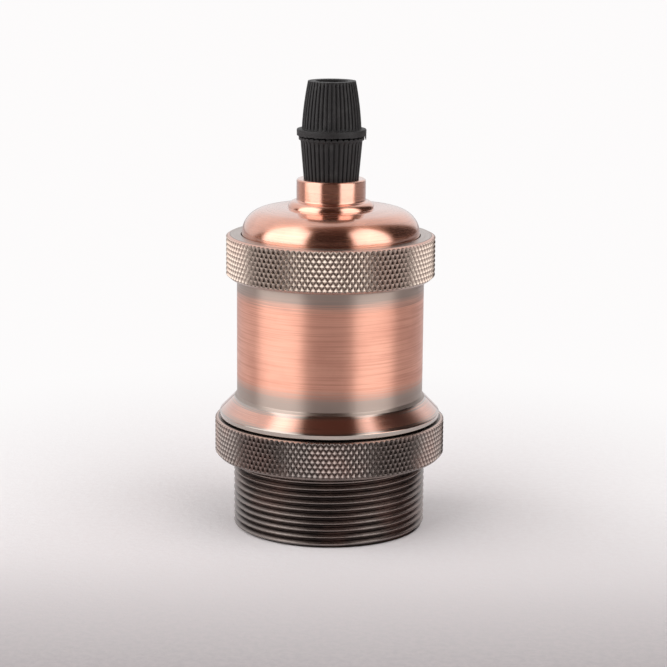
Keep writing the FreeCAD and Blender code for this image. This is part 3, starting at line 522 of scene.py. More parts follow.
@dataclass(frozen=True)
class TurnedMetal:
    """Plated metal with lines round it and uneven colour."""

    name: str
    colour: Colour
    tarnish: Colour
    roughness: float
    lines: float = 0.05
    anisotropic: float = 0.0
    lacquer: float = 0.0
    line_tint: float = 0.35
    across: float = 5000.0
    along: float = 90.0
    end_colour: Colour | None = None
    end_band: tuple[float, float] = (0.0, 0.0)
    end_fade: float = 2.0

    def build(self, effects: Effects) -> Material:
        """Wire the finish and return its material."""
        recipe = Recipe(self.name, 1.0, effects)
        lines = recipe.effect(effects.turned_lines, Across=self.across, Along=self.along)
        patches = recipe.effect(effects.mottle, Scale=110.0, Low=0.42, High=0.68)
        colour = recipe.mix(recipe.maths("MULTIPLY", patches, 0.4), self.colour, self.tarnish)
        line_tint = recipe.ramp(lines, 0.4, 0.66, 0.0, self.line_tint)
        colour = recipe.mix(line_tint, colour, self.tarnish)
        if self.end_colour:
            streaks = recipe.maths("MULTIPLY", recipe.maths("SUBTRACT", lines, 0.5), 0.004)
            middle = recipe.effect(effects.band, Bottom=self.end_band[0] * MM, Top=self.end_band[1] * MM,
                                   Fade=self.end_fade * MM, Streaks=streaks)
            colour = recipe.mix(middle, self.end_colour, colour)
        rough = recipe.ramp(lines, 0.3, 0.7, self.roughness - self.lines, self.roughness + self.lines)
        recipe.feed(recipe.shader, Base_Color=colour, Roughness=rough, Anisotropic=self.anisotropic,
                    Coat_Weight=self.lacquer, Coat_Roughness=0.05, Coat_IOR=1.8)
        if self.anisotropic:
            tangent = recipe.add("ShaderNodeTangent", direction_type="RADIAL", axis="Z")
            recipe.feed(recipe.shader, Tangent=tangent.outputs[0], Anisotropic_Rotation=0.25)
        recipe.bump(lines, 0.15, 0.00002)
        return recipe.material


@dataclass(frozen=True)
class WorkedMetal:
    """Plated metal that is lighter at its crests and darker in its valleys, by radius."""

    name: str
    crest: Colour
    valley: Colour
    root: float
    tip: float
    roughness: float
    blush: Colour = (0.40, 0.22, 0.18)
    blush_share: float = 0.2

    def build(self, effects: Effects) -> Material:
        """Wire the finish and return its material."""
        recipe = Recipe(self.name, 1.0, effects)
        share = recipe.effect(effects.reach, Low=self.root * MM, High=self.tip * MM)
        patches = recipe.effect(effects.mottle, Scale=90.0, Low=0.45, High=0.7)
        grit = recipe.effect(effects.mottle, Scale=1500.0, Low=0.4, High=0.7)
        colour = recipe.mix(share, self.valley, self.crest)
        colour = recipe.mix(recipe.maths("MULTIPLY", patches, self.blush_share), colour, self.blush)
        colour = recipe.mix(recipe.maths("MULTIPLY", grit, 0.2), colour, self.valley)
        rough = recipe.ramp(share, 0.0, 1.0, self.roughness + 0.12, self.roughness)
        recipe.feed(recipe.shader, Base_Color=colour, Roughness=rough)
        recipe.bump(grit, 0.25, 0.00002)
        return recipe.material


@dataclass(frozen=True)
class MouldedNylon:
    """Matt moulded nylon with a faint grain."""

    name: str
    colour: Colour
    chalk: Colour
    roughness: float

    def build(self, effects: Effects) -> Material:
        """Wire the finish and return its material."""
        recipe = Recipe(self.name, 0.0, effects)
        grain = recipe.effect(effects.mottle, Scale=2600.0, Low=0.35, High=0.75)
        dust = recipe.effect(effects.mottle, Scale=420.0, Low=0.52, High=0.78)
        colour = recipe.mix(recipe.maths("MULTIPLY", dust, 0.35), self.colour, self.chalk)
        rough = recipe.ramp(grain, 0.0, 1.0, self.roughness - 0.06, self.roughness + 0.06)
        recipe.feed(recipe.shader, Base_Color=colour, Roughness=rough, Specular_IOR_Level=0.32)
        recipe.bump(grain, 0.2, 0.00003)
        return recipe.material


@dataclass(frozen=True)
class Porcelain:
    """Glazed white porcelain."""

    name: str
    colour: Colour
    shade: Colour

    def build(self, effects: Effects) -> Material:
        """Wire the finish and return its material."""
        recipe = Recipe(self.name, 0.0, effects)
        pools = recipe.effect(effects.mottle, Scale=160.0, Low=0.4, High=0.7)
        colour = recipe.mix(recipe.maths("MULTIPLY", pools, 0.4), self.colour, self.shade)
        recipe.feed(recipe.shader, Base_Color=colour, Roughness=0.22, Coat_Weight=0.6, Coat_Roughness=0.06)
        recipe.bump(pools, 0.1, 0.0001)
        return recipe.material


OLIVE = (0.40, 0.325, 0.285)
GREY_EDGE = (0.36, 0.31, 0.27)
FINISHES = (
    TurnedMetal("brushed_copper", (0.82, 0.43, 0.32), (0.64, 0.30, 0.22), 0.38, 0.07, 0.86, 0.0, 0.7,
                4200.0, 60.0, OLIVE, (31.0, 49.0), 3.4),
    TurnedMetal("polished_copper", (0.82, 0.40, 0.28), (0.60, 0.24, 0.15), 0.25, 0.04, 0.88, 1.0, 0.35,
                5200.0, 60.0),
    TurnedMetal("polished_flare", (0.74, 0.38, 0.28), (0.55, 0.24, 0.17), 0.15, 0.03, 0.86, 1.0, 0.35,
                5200.0, 60.0, GREY_EDGE, (24.5, 26.9), 1.1),
    WorkedMetal("dark_bronze_knurl", (0.27, 0.235, 0.22), (0.09, 0.074, 0.067), 23.25, 23.68, 0.2),
    WorkedMetal("dark_bronze_thread", (0.25, 0.215, 0.20), (0.04, 0.03, 0.027), 18.95, 19.72, 0.26),
    TurnedMetal("dark_bronze", (0.26, 0.215, 0.195), (0.14, 0.105, 0.095), 0.28, 0.05, 0.8),
    TurnedMetal("dark_bronze_edge", (0.60, 0.43, 0.37), (0.40, 0.28, 0.24), 0.26, 0.05, 0.8),
    WorkedMetal("aged_copper_knurl", (0.58, 0.49, 0.42), (0.27, 0.215, 0.185), 20.95, 21.37, 0.2),
    TurnedMetal("aged_copper_edge", (0.76, 0.46, 0.37), (0.60, 0.34, 0.27), 0.26, 0.04, 0.8),
    # Greyer copper on the lock ring's flat top, lower chamfer and plain faces: a painted reflection of the
    # dim surroundings that the flat top shows at a grazing angle.
    TurnedMetal("grey_copper_painted_reflection", (0.50, 0.42, 0.38), (0.36, 0.28, 0.24), 0.3, 0.05, 0.8),
    MouldedNylon("black_nylon", (0.012, 0.011, 0.0112), (0.05, 0.048, 0.047), 0.55),
    Porcelain("glazed_porcelain", (0.83, 0.81, 0.76), (0.74, 0.71, 0.65)),
    TurnedMetal("shell_brass", (0.85, 0.68, 0.38), (0.62, 0.46, 0.22), 0.2, 0.05),
    TurnedMetal("spring_bronze", (0.76, 0.52, 0.32), (0.55, 0.34, 0.2), 0.3, 0.06),
    TurnedMetal("terminal_brass", (0.80, 0.64, 0.36), (0.6, 0.44, 0.22), 0.28, 0.06),
    TurnedMetal("plated_steel", (0.66, 0.66, 0.64), (0.5, 0.5, 0.48), 0.3, 0.06),
    TurnedMetal("spring_steel", (0.34, 0.34, 0.35), (0.2, 0.19, 0.19), 0.35, 0.06),
)
Finishes = dict[str, Material]


def build_finishes() -> Finishes:
    """Build the shared groups and every finish once, and return the materials by name."""
    effects = Effects()
    return {finish.name: finish.build(effects) for finish in FINISHES}


def pick(finishes: Finishes, *names: str) -> list[Material]:
    """The materials of the given names."""
    return [finishes[name] for name in names]


@dataclass
class Barrel:
    """The turned barrel with its threaded skirt, flare and inner ledge."""

    thread: float = 19.75
    root: float = 18.95
    pitch: float = 1.42
    start: float = 0.89
    crest_flat: float = 0.22
    rim: float = 0.4
    skirt: float = 23.2
    flare: float = 22.65
    flare_edge: float = 24.15
    flare_top: float = 27.7
    barrel: float = 19.15
    top: float = 58.8
    neck_foot: float = 54.0
    neck: float = 18.9
    bore: float = 17.4
    groove: float = 18.1
    groove_low: float = 32.0
    groove_high: float = 33.25
    ledge: float = 16.4
    ledge_low: float = 6.0
    ledge_high: float = 7.5
    mouth: float = 17.9
    columns: int = 216

    def thread_profile(self) -> list[tuple[float, float]]:
        """One pitch of the thread, as height and radius in mm."""
        half = self.crest_flat / 2
        return [
            (-half * 0.6, self.thread),
            (half * 0.6, self.thread),
            (half * 1.5, self.thread - 0.08),
            (self.pitch / 2 - 0.06, self.root),
            (self.pitch / 2 + 0.06, self.root),
            (self.pitch - half * 1.5, self.thread - 0.08),
        ]

    def mesh(self) -> BMesh:
        """Thread the skirt and carry its borders round the rest of the section."""
        profile = self.thread_profile()
        each = len(profile)
        turns = math.ceil(self.skirt / self.pitch) + 2
        roll = Roll(self.columns, turns * each)

        def place(column: int, row: int) -> tuple[float, float]:
            """Height and radius of a point of the helix."""
            height, radius = profile[row % each]
            front = column / self.columns - 0.75
            lift = (row // each - 1) * self.pitch + self.pitch * front
            return height + lift + self.start - self.pitch, radius

        roll.shape(place)
        foot = self.root - 0.02
        roll.cut((foot, 0.0), (self.thread, self.rim))
        roll.cut((self.thread + 1, self.skirt), (0.0, self.skirt))
        return roll.close([(foot, 0.0), *self.inside()], self.outside())

    def inside(self) -> Section:
        """The section from the rim up the bore to the top."""
        soft = 0.1
        return [
            (self.mouth + self.rim + soft, 0.0),
            (self.mouth + self.rim, soft * 0.3),
            (self.mouth, self.rim),
            (self.mouth, self.ledge_low),
            (self.ledge + soft, self.ledge_low),
            (self.ledge, self.ledge_low + soft),
            (self.ledge, self.ledge_high - soft),
            (self.ledge + soft, self.ledge_high),
            (self.bore, self.ledge_high),
            (self.bore, self.groove_low),
            (self.groove, self.groove_low),
            (self.groove, self.groove_high),
            (self.bore, self.groove_high),
            (self.bore, self.top),
        ]

    def outside(self) -> Section:
        """The section from the thread's end over the flare and up the barrel to the top."""
        slope = math.degrees(math.atan2(self.flare_top - self.flare_edge, self.flare - self.barrel))
        edge, crest, fillet, soft, lead = 0.16, 0.2, 0.25, 0.1, 0.3
        return [
            (self.flare - edge, self.skirt),
            *arc((self.flare - edge, self.skirt + edge), edge, -90, 0, 4)[1:],
            (self.flare, self.flare_edge - soft),
            *arc((self.flare - crest, self.flare_edge - 0.08), crest, 10, 90 - slope, 4),
            *self.cone_lines(8),
            *arc((self.barrel + fillet, self.flare_top + 0.22), fillet, 270 - slope, 180, 4),
            (self.barrel, self.neck_foot - soft),
            (self.barrel - soft, self.neck_foot),
            (self.neck, self.neck_foot),
            (self.neck, self.top - lead),
            (self.neck - lead, self.top),
        ]

    def cone_lines(self, count: int) -> Section:
        """Lines that divide the flare's cone."""
        run, rise = self.barrel - self.flare, self.flare_top - self.flare_edge
        return [(self.flare + run * step / count, self.flare_edge + rise * step / count)
                for step in range(1, count)]

    def zone(self, face: BMFace) -> int:
        """Give a face's finish: 0 brushed, 1 flare, 2 thread, 3 plain bronze."""
        place = face.calc_center_median()
        radius = math.hypot(place.x, place.y) / MM
        height = place.z / MM
        if radius < self.bore + 1.2 and height > self.ledge_low or radius < self.mouth + 0.2:
            return 3
        if height < self.skirt - 0.01:
            return 2
        if radius < self.barrel + 0.3:
            return 0
        return 1 if height < self.flare_top + 0.3 else 0

    def build(self, finishes: Finishes) -> Object:
        """Make the piece."""
        return finish_piece(
            "barrel_turned", self.mesh(),
            pick(finishes, "brushed_copper", "polished_flare", "dark_bronze_thread", "dark_bronze"),
            Body.HOLDER, ["barrel"], self.zone, 24.0)


@dataclass
class KnurledRing:
    """A ring with a diamond knurl between its chamfers; its finishes are in the order of zone."""

    name: str
    node: str
    body: Body
    slot: str
    finishes: tuple[str, str, str]
    radius: float
    bottom: float
    top: float
    run: float
    rise: float
    foot: float
    around: int
    rows: int
    inside: Section
    depth: float = 0.42
    tip: float = 0.035
    valley: float = 0.08

    def mesh(self) -> BMesh:
        """Knurl the band, cut it by the chamfers and carry it round the section."""
        spare = 2
        roll = Roll(self.around * 2, self.rows + 2 * spare, spare)
        low_line = self.bottom + self.foot
        step = (self.top - self.rise - low_line) / self.rows

        def place(column: int, row: int) -> tuple[float, float]:
            """Height and radius of a tip, or of a point between tips."""
            raised = (column + row) % 2 == 0
            return low_line + (row - spare) * step, self.radius if raised else self.radius - self.depth

        roll.shape(place)
        root = (self.radius - self.depth * 0.5) * MM
        valleys = [v for v in roll.work.verts if v.co.z < root]
        bmesh.ops.connect_verts(roll.work, verts=valleys)
        grooves = [e for e in roll.work.edges if all(v.co.z < root for v in e.verts)]
        bmesh.ops.bevel(roll.work, geom=grooves, offset=self.valley * MM, affect="EDGES", segments=1,
                        profile=0.5, material=-1, clamp_overlap=True)
        self.blunt(roll)
        edge = self.radius - self.run
        roll.cut((edge, self.bottom), (self.radius, self.bottom + self.foot))
        roll.cut((self.radius, self.top - self.rise), (edge, self.top))
        roll.trim()
        flat = 0.06
        return roll.close(
            [(edge + flat, self.bottom + flat), (edge - flat, self.bottom)],
            [(edge + flat * 1.5, self.top - flat * 0.7), (edge - flat, self.top), *self.inside])

    def blunt(self, roll: Roll) -> None:
        """Flatten the tip of each pyramid a little, as rolling leaves it."""
        limit = (self.radius - self.tip) * MM
        bmesh.ops.bisect_plane(
            roll.work, geom=whole(roll.work), plane_co=(0, 0, limit), plane_no=(0, 0, 1), dist=SLIVER / 10)
        for vert in roll.work.verts:
            vert.co.z = min(vert.co.z, limit + (vert.co.z - limit) * 0.25)

    def zone(self, face: BMFace) -> int:
        """Give a face's finish: 0 knurl, 1 upper chamfer, 2 lower chamfer and plain faces."""
        place = face.calc_center_median()
        radius = math.hypot(place.x, place.y)
        if radius < (self.radius - self.run - 0.08) * MM:
            return 2
        below = face.normal.z < 0
        outward = (face.normal.x * place.x + face.normal.y * place.y) / radius
        slope = math.atan2(self.run, self.foot if below else self.rise)
        tilt = math.atan2(abs(face.normal.z), outward) - slope
        height = place.z / MM
        reach = height - self.bottom - self.foot if below else self.top - self.rise - height
        if abs(tilt) > 0.06 or reach > 0.1:
            return 0
        return 2 if below else 1

    def build(self, finishes: Finishes) -> Object:
        """Make the piece."""
        return finish_piece(self.name, self.mesh(), pick(finishes, *self.finishes), self.body,
                            [self.node], self.zone, 12.0)


@dataclass
class Cap:
    """The polished cap with its bead, neck and flange."""

    spigot_bottom: float = 56.3
    spigot: float = 17.3
    inside: float = 16.1
    flange: float = 18.9
    flange_low: float = 58.8
    flange_high: float = 59.8
    foot: float = 18.2
    shoulder: float = 5.1
    wall: float = 2.1
    shoulder_low: float = 60.95
    shoulder_angle: float = 80.0
    crown: float = 25.0
    crown_rise: float = 0.38
    bead: float = 1.4
    bead_reach: float = 8.8
    neck: float = 7.04
    neck_height: float = 4.45
    entry: float = 5.0
    boss: float = 3.0
    boss_height: float = 3.6
    boss_offset: float = 10.8
    boss_hole: float = 1.55
    boss_hole_depth: float = 3.05

    def section(self) -> Section:
        """The cap's section."""
        centre = self.foot - self.shoulder
        shoulder = arc((centre, self.shoulder_low), self.shoulder, 0, self.shoulder_angle, 28)
        crown_end = (self.bead_reach, shoulder[-1][1] + self.crown_rise)
        crown = bulge(shoulder[-1], crown_end, self.crown, 10)
        bead_top = crown_end[1] + self.bead
        bead_inner = self.bead_reach - self.bead
        bead = arc((bead_inner, crown_end[1]), self.bead, 0, 90, 10)
        neck_top = bead_top + self.neck_height
        fillet = 0.35
        inner = self.shoulder - self.wall
        ceiling = arc((centre, self.shoulder_low), inner, self.shoulder_angle, 0, 12)
        return [
            (self.inside, self.spigot_bottom),
            (self.spigot, self.spigot_bottom),
            (self.spigot, self.flange_low),
            (self.flange, self.flange_low),
            (self.flange, self.flange_high),
            (self.foot, self.flange_high),
            *shoulder,
            *crown[1:-1],
            *bead,
            *arc((self.neck + fillet, bead_top + fillet), fillet, 270, 180, 5),
            (self.neck, neck_top - 0.25),
            (self.neck - 0.25, neck_top),
            (self.entry, neck_top),
            (self.entry, ceiling[0][1]),
            *ceiling,
        ]

    def boss_mesh(self) -> BMesh:
        """The boss under the crown, which takes the earth screw; its upper end is inside the wall."""
        inner = self.shoulder - self.wall
        ceiling = self.shoulder_low + inner * math.sin(math.radians(self.shoulder_angle))
        low = ceiling - self.boss_height
        high = ceiling + self.wall / 2
        work = Turning([
            (self.boss_hole, low),
            (self.boss, low),
            (self.boss, high),
            (0.0, high),
            (0.0, low + self.boss_hole_depth),
            (self.boss_hole, low + self.boss_hole_depth),
        ], 0.05, 64).mesh()
        bmesh.ops.translate(work, verts=list(work.verts), vec=(-self.boss_offset * MM, 0, 0))
        return work

    def build(self, finishes: Finishes) -> Object:
        """Make the piece."""
        work = Turning(self.section(), 0.05, 256).mesh()
        join_meshes(work, self.boss_mesh())
        return finish_piece("cap_spun", work, pick(finishes, "polished_copper"), Body.HOLDER,
                            ["cap"], None, 40.0)


@dataclass
class ScrewShell:
    """The drawn brass shell, with the lamp's rolled thread in its wall."""

    radius: float = 13.3
    wall: float = 0.4
    mouth: float = 5.0
    top: float = 24.0
    corner: float = 1.0
    flange_edge: float = 8.0
    pitch: float = 3.63
    relief: float = 0.45
    plain: float = 1.2
    columns: int = 144
    rows_each_turn: int = 14

    def mesh(self) -> BMesh:
        """Thread the inside and carry its borders round the rest of the section."""
        outside = self.radius + self.wall
        outer_corner = self.corner + self.wall
        high = self.top - outer_corner
        rows = round((high - self.mouth) / self.pitch * self.rows_each_turn)
        roll = Roll(self.columns, rows)

        def place(column: int, row: int) -> tuple[float, float]:
            """Height and radius of a point on the thread, which fades at both ends."""
            height = self.mouth + (high - self.mouth) * row / rows
            away = column / self.columns - height / self.pitch
            fade = min(1.0, (height - self.mouth) / self.plain, (high - height) / self.plain)
            return height, self.radius - self.relief * fade * (0.5 + 0.5 * math.cos(away * TURN))

        roll.shape(place)
        return roll.close([
            (outside, self.mouth),
            (outside, high),
            *arc((outside - outer_corner, high), outer_corner, 0, 90, 6)[1:],
            (self.flange_edge, self.top),
            (self.flange_edge, self.top - self.wall),
        ], arc((self.radius - self.corner, high), self.corner, 0, 90, 6)[1:])

    def build(self, finishes: Finishes) -> Object:
        """Make the piece."""
        return finish_piece("screw_shell_threaded", self.mesh(), pick(finishes, "shell_brass"), Body.HOLDER,
                            ["screw_shell"], None, 40.0)


@dataclass
class CordGrip:
    """The moulded cord grip: the lower half and the nut over it, both ribbed."""

    notch_width: float = 0.62
    notch_depth: float = 0.4
    notch_reach: float = 1.2
    stem: float = 4.85
    stem_top: float = 86.6
    finger_foot: float = 4.4
    finger: float = 3.7
    finger_top: float = 89.7
    slot: float = 0.8
    cord: float = 3.0
    entry: float = 4.9
    entry_low: float = 64.6
    ribs: int = 40
    lower_ribs: int = 38
    groove: float = 0.34
    neck_top: float = 72.2
    foot: float = 5.6
    waist: float = 6.3
    waist_height: float = 80.1
    flange: float = 6.65
    flange_top: float = 80.8
    teeth: int = 34
    collar: float = 7.05
    collar_low: float = 81.15
    collar_high: float = 82.35
    cone_foot: float = 6.05
    cone_top: float = 4.85
    top: float = 92.0
    bulge: float = 64.0
    hole: float = 3.2
    nut_bore: float = 4.95
    per_rib: int = 10
    crown: float = 0.62
    flash: float = 0.11
    flash_waves: tuple[tuple[int, float], ...] = ((7, 0.03), (17, 0.03), (34, 0.04), (53, 0.03))
    tag: float = 0.8
    tag_angle: float = math.radians(-7.0)
    tag_width: float = 0.11

    def rib(self, share: float) -> float:
        """Depth of the rib's surface at a share of its width, with narrow grooves between ribs."""
        away = abs((share % 1.0) - 0.5) * 2
        if away > self.crown:
            return self.groove * min(1.0, (away - self.crown) / 0.2)
        return 0.06 * (away / self.crown) ** 2

    def nut_mesh(self) -> BMesh:
        """The nut: ribbed cone, collar and bore."""
        side = bulge((self.cone_foot, self.collar_high), (self.cone_top, self.top), self.bulge, 26)
        roll = Roll(self.ribs * self.per_rib, len(side) - 1)

        def place(column: int, row: int) -> tuple[float, float]:
            """Height and radius of a point on the nut's ribs."""
            radius, height = side[row]
            low = min(1.0, (height - self.collar_high) / 0.35)
            high = min(1.0, max(0.0, (self.top - 0.2 - height) / 0.25))
            depth = self.rib(column / self.per_rib) * min(low, high)
            return height, radius - depth

        roll.shape(place)
        edge, chamfer, lead = 0.18, 0.4, 0.12
        work = roll.close([
            (self.cone_foot + 0.12, self.collar_high - 0.02),
            (self.collar - edge, self.collar_high),
            *arc((self.collar - edge, self.collar_high - edge), edge, 90, 0, 4)[1:],
            (self.collar, self.collar_low + chamfer),
            (self.collar - chamfer, self.collar_low),
            (self.nut_bore, self.collar_low),
            (self.nut_bore, self.top - 4.7),
            (self.hole, self.top - 1.3),
        ], [
            (self.cone_top - 0.08, self.top - 0.02),
            (self.cone_top - 0.2, self.top),
            (self.hole + lead, self.top),
            (self.hole, self.top - lead),
        ])
        join_meshes(work, self.flash_mesh())
        return work

    def flash_mesh(self) -> BMesh:
        """The thin ragged flash that the mould left round the collar's lower edge."""
        columns = 240
        roll = Roll(columns, 2)
        sides = roll.sides()
        root = self.collar_low + 0.5
        outer, inner = self.collar - 0.02, self.collar - 0.2

        def place(column: int, row: int) -> tuple[float, float]:
            """Height and radius of a point, from the root down the outside to the ragged edge."""
            if row == 0:
                return root, outer
            angle = column / columns * TURN
            ragged = sum(size * math.sin(waves * angle + waves) for waves, size in self.flash_waves)
            away = math.remainder(angle - self.tag_angle, TURN)
            drop = self.flash + ragged + self.tag * math.exp(-(away / self.tag_width) ** 2)
            return self.collar_low - max(0.02, drop), outer if row == 1 else outer - 0.1

        roll.shape(place)
        return roll.close([], [(inner, root)], sides)

    def body_mesh(self) -> BMesh:
        """The lower half: ribbed cone, toothed flange, stem and fingers' root."""
        rows = 14
        roll = Roll(self.lower_ribs * self.per_rib, rows)

        def place(column: int, row: int) -> tuple[float, float]:
            """Height and radius of a point on the lower ribs."""
            share = row / rows
            height = self.neck_top + (self.waist_height - self.neck_top) * share
            radius = self.foot + (self.waist - self.foot) * share
            fade = min(1.0, max(0.0, (self.waist_height - height) / 0.5))
            return height, radius - self.rib(column / self.per_rib) * fade

        roll.shape(place)
        soft, lead = 0.1, 0.2
        work = roll.close([
            (self.entry, self.neck_top),
            (self.entry, self.entry_low + lead),
            (self.entry - lead, self.entry_low),
            (self.cord, self.entry_low),
        ], [
            (self.flange - 0.06, self.waist_height + 0.06),
            (self.flange, self.waist_height + 0.15),
            (self.flange, self.flange_top - soft),
            (self.flange - soft, self.flange_top),
            (self.stem, self.flange_top),
            (self.stem, self.stem_top),
            (self.finger_foot, self.stem_top),
            (self.finger, self.finger_top),
            (self.cord, self.finger_top),
        ])
        work = carve(work, self.notches())
        for across, along in ((self.slot, 2 * self.entry), (2 * self.entry, self.slot)):
            work = carve(work, self.slot_block(across, along))
        return work

    def notches(self) -> BMesh:
        """Wedges that cut the notches round the flange's upper edge, the first at +Y."""
        spare = 0.3
        depth = self.notch_depth + spare
        half = self.notch_width / 2 * depth / self.notch_depth
        reach = self.notch_reach + spare
        work = bmesh.new()
        for vert in bmesh.ops.create_cube(work, size=1.0)["verts"]:
            low = vert.co.z < 0
            outward = self.flange + spare - (0.5 - vert.co.y) * reach
            level = self.flange_top + spare - (depth if low else 0.0)
            vert.co = Vector((0.0 if low else math.copysign(half, vert.co.x), outward, level)) * MM
        bmesh.ops.remove_doubles(work, verts=list(work.verts), dist=TINY)
        steps = self.teeth - 1
        bmesh.ops.spin(work, geom=whole(work), cent=(0, 0, 0), axis=(0, 0, 1),
                       angle=TURN * steps / self.teeth, steps=steps, use_duplicate=True)
        bmesh.ops.recalc_face_normals(work, faces=list(work.faces))
        return work

    def slot_block(self, across: float, along: float) -> BMesh:
        """A block that cuts one slot between the clamping fingers, across by along mm."""
        height = self.finger_top + 1.0 - self.stem_top
        place = Matrix.Translation((0, 0, (self.stem_top + height / 2) * MM))
        work = bmesh.new()
        bmesh.ops.create_cube(work, size=MM, matrix=place @ Matrix.Diagonal((across, along, height, 1.0)))
        return work

    def build(self, finishes: Finishes) -> list[Object]:
        """Make both pieces."""
        nylon = pick(finishes, "black_nylon")
        return [
            finish_piece("grip_body_ribbed", self.body_mesh(), nylon, Body.HOLDER,
                         ["grip_body"], None, 38.0),
            finish_piece("grip_nut_ribbed", self.nut_mesh(), nylon, Body.GRIP_NUT,
                         ["grip_nut"], None, 38.0),
        ]


@dataclass(frozen=True)
class PhotoCamera:
    """The camera that matches the photograph, in mm and degrees."""

    back: float = 437.3
    height: float = 131.5
    pitch: float = 11.81
    yaw: float = 0.093
    roll: float = 0.458
    focal_pixels: float = 2169.0
    frame_pixels: float = 667.0
    sensor: float = 36.0

    def place(self) -> None:
        """Make the camera."""
        pitch, yaw, roll = (math.radians(a) for a in (self.pitch, self.yaw, self.roll))
        ahead = Vector((math.sin(yaw) * math.cos(pitch), math.cos(yaw) * math.cos(pitch), -math.sin(pitch)))
        level = ahead.cross(Vector((0, 0, 1))).normalized()
        upright = level.cross(ahead)
        right = level * math.cos(roll) + upright * math.sin(roll)
        up = upright * math.cos(roll) - level * math.sin(roll)
        data = bpy.data.cameras.new("photo_camera")
        data.sensor_width = self.sensor
        data.lens = self.focal_pixels / self.frame_pixels * self.sensor
        data.clip_start = 0.01
        data.clip_end = 20.0
        camera = to_scene("photo_camera", data)
        turn = Matrix((right, up, -ahead)).transposed().to_4x4()
        camera.matrix_world = Matrix.Translation((0, -self.back * MM, self.height * MM)) @ turn
        bpy.context.scene.camera = camera


@dataclass(frozen=True)
class Softbox:
    """A rectangular soft light that faces the object."""

    name: str
    bearing: float
    elevation: float
    distance: float
    width: float
    height: float
    power: float

    def place(self) -> None:
        """Make the light; bearing 0 is the camera's side and positive is to the right."""
        data = bpy.data.lights.new(self.name, "AREA")
        data.shape = "RECTANGLE"
        data.size = self.width
        data.size_y = self.height
        data.energy = self.power
        light = to_scene(self.name, data)
        bearing, elevation = math.radians(self.bearing), math.radians(self.elevation)
        out = Vector((math.sin(bearing) * math.cos(elevation), -math.cos(bearing) * math.cos(elevation),
                      math.sin(elevation)))
        target = Vector((0, 0, 0.045))
        light.matrix_world = Matrix.Translation(target + out * self.distance) @ out.to_track_quat(
            "Z", "Y").to_matrix().to_4x4()
        light.visible_camera = False
        light.visible_glossy = False


@dataclass(frozen=True)
class Panel:
    """An upright softbox beside the object, as the metal reflects it.

    Places on it are shares of its distance: back from the object, and up from the floor.
    """

    side: int
    near: float
    near_soft: float
    far: float
    far_soft: float
    strength: float
    full_height: float = 1.2
    top: float = 3.3

    def mask(self, wiring: Wiring, parts: Node) -> NodeSocket:
        """One where a direction, given as its parts, meets the panel."""
        aside = wiring.maths("MAXIMUM", wiring.maths("MULTIPLY", parts.outputs[0], self.side), 0.001)
        back = wiring.maths("DIVIDE", parts.outputs[1], aside)
        up = wiring.maths("DIVIDE", parts.outputs[2], aside)
        opens = wiring.ramp(back, self.near - self.near_soft, self.near + self.near_soft)
        shuts = wiring.ramp(back, self.far - self.far_soft, self.far + self.far_soft, 1.0, 0.0)
        across = wiring.maths("MULTIPLY", opens, shuts)
        return wiring.maths("MULTIPLY", across, wiring.ramp(up, self.full_height, self.top, 1.0, 0.0))


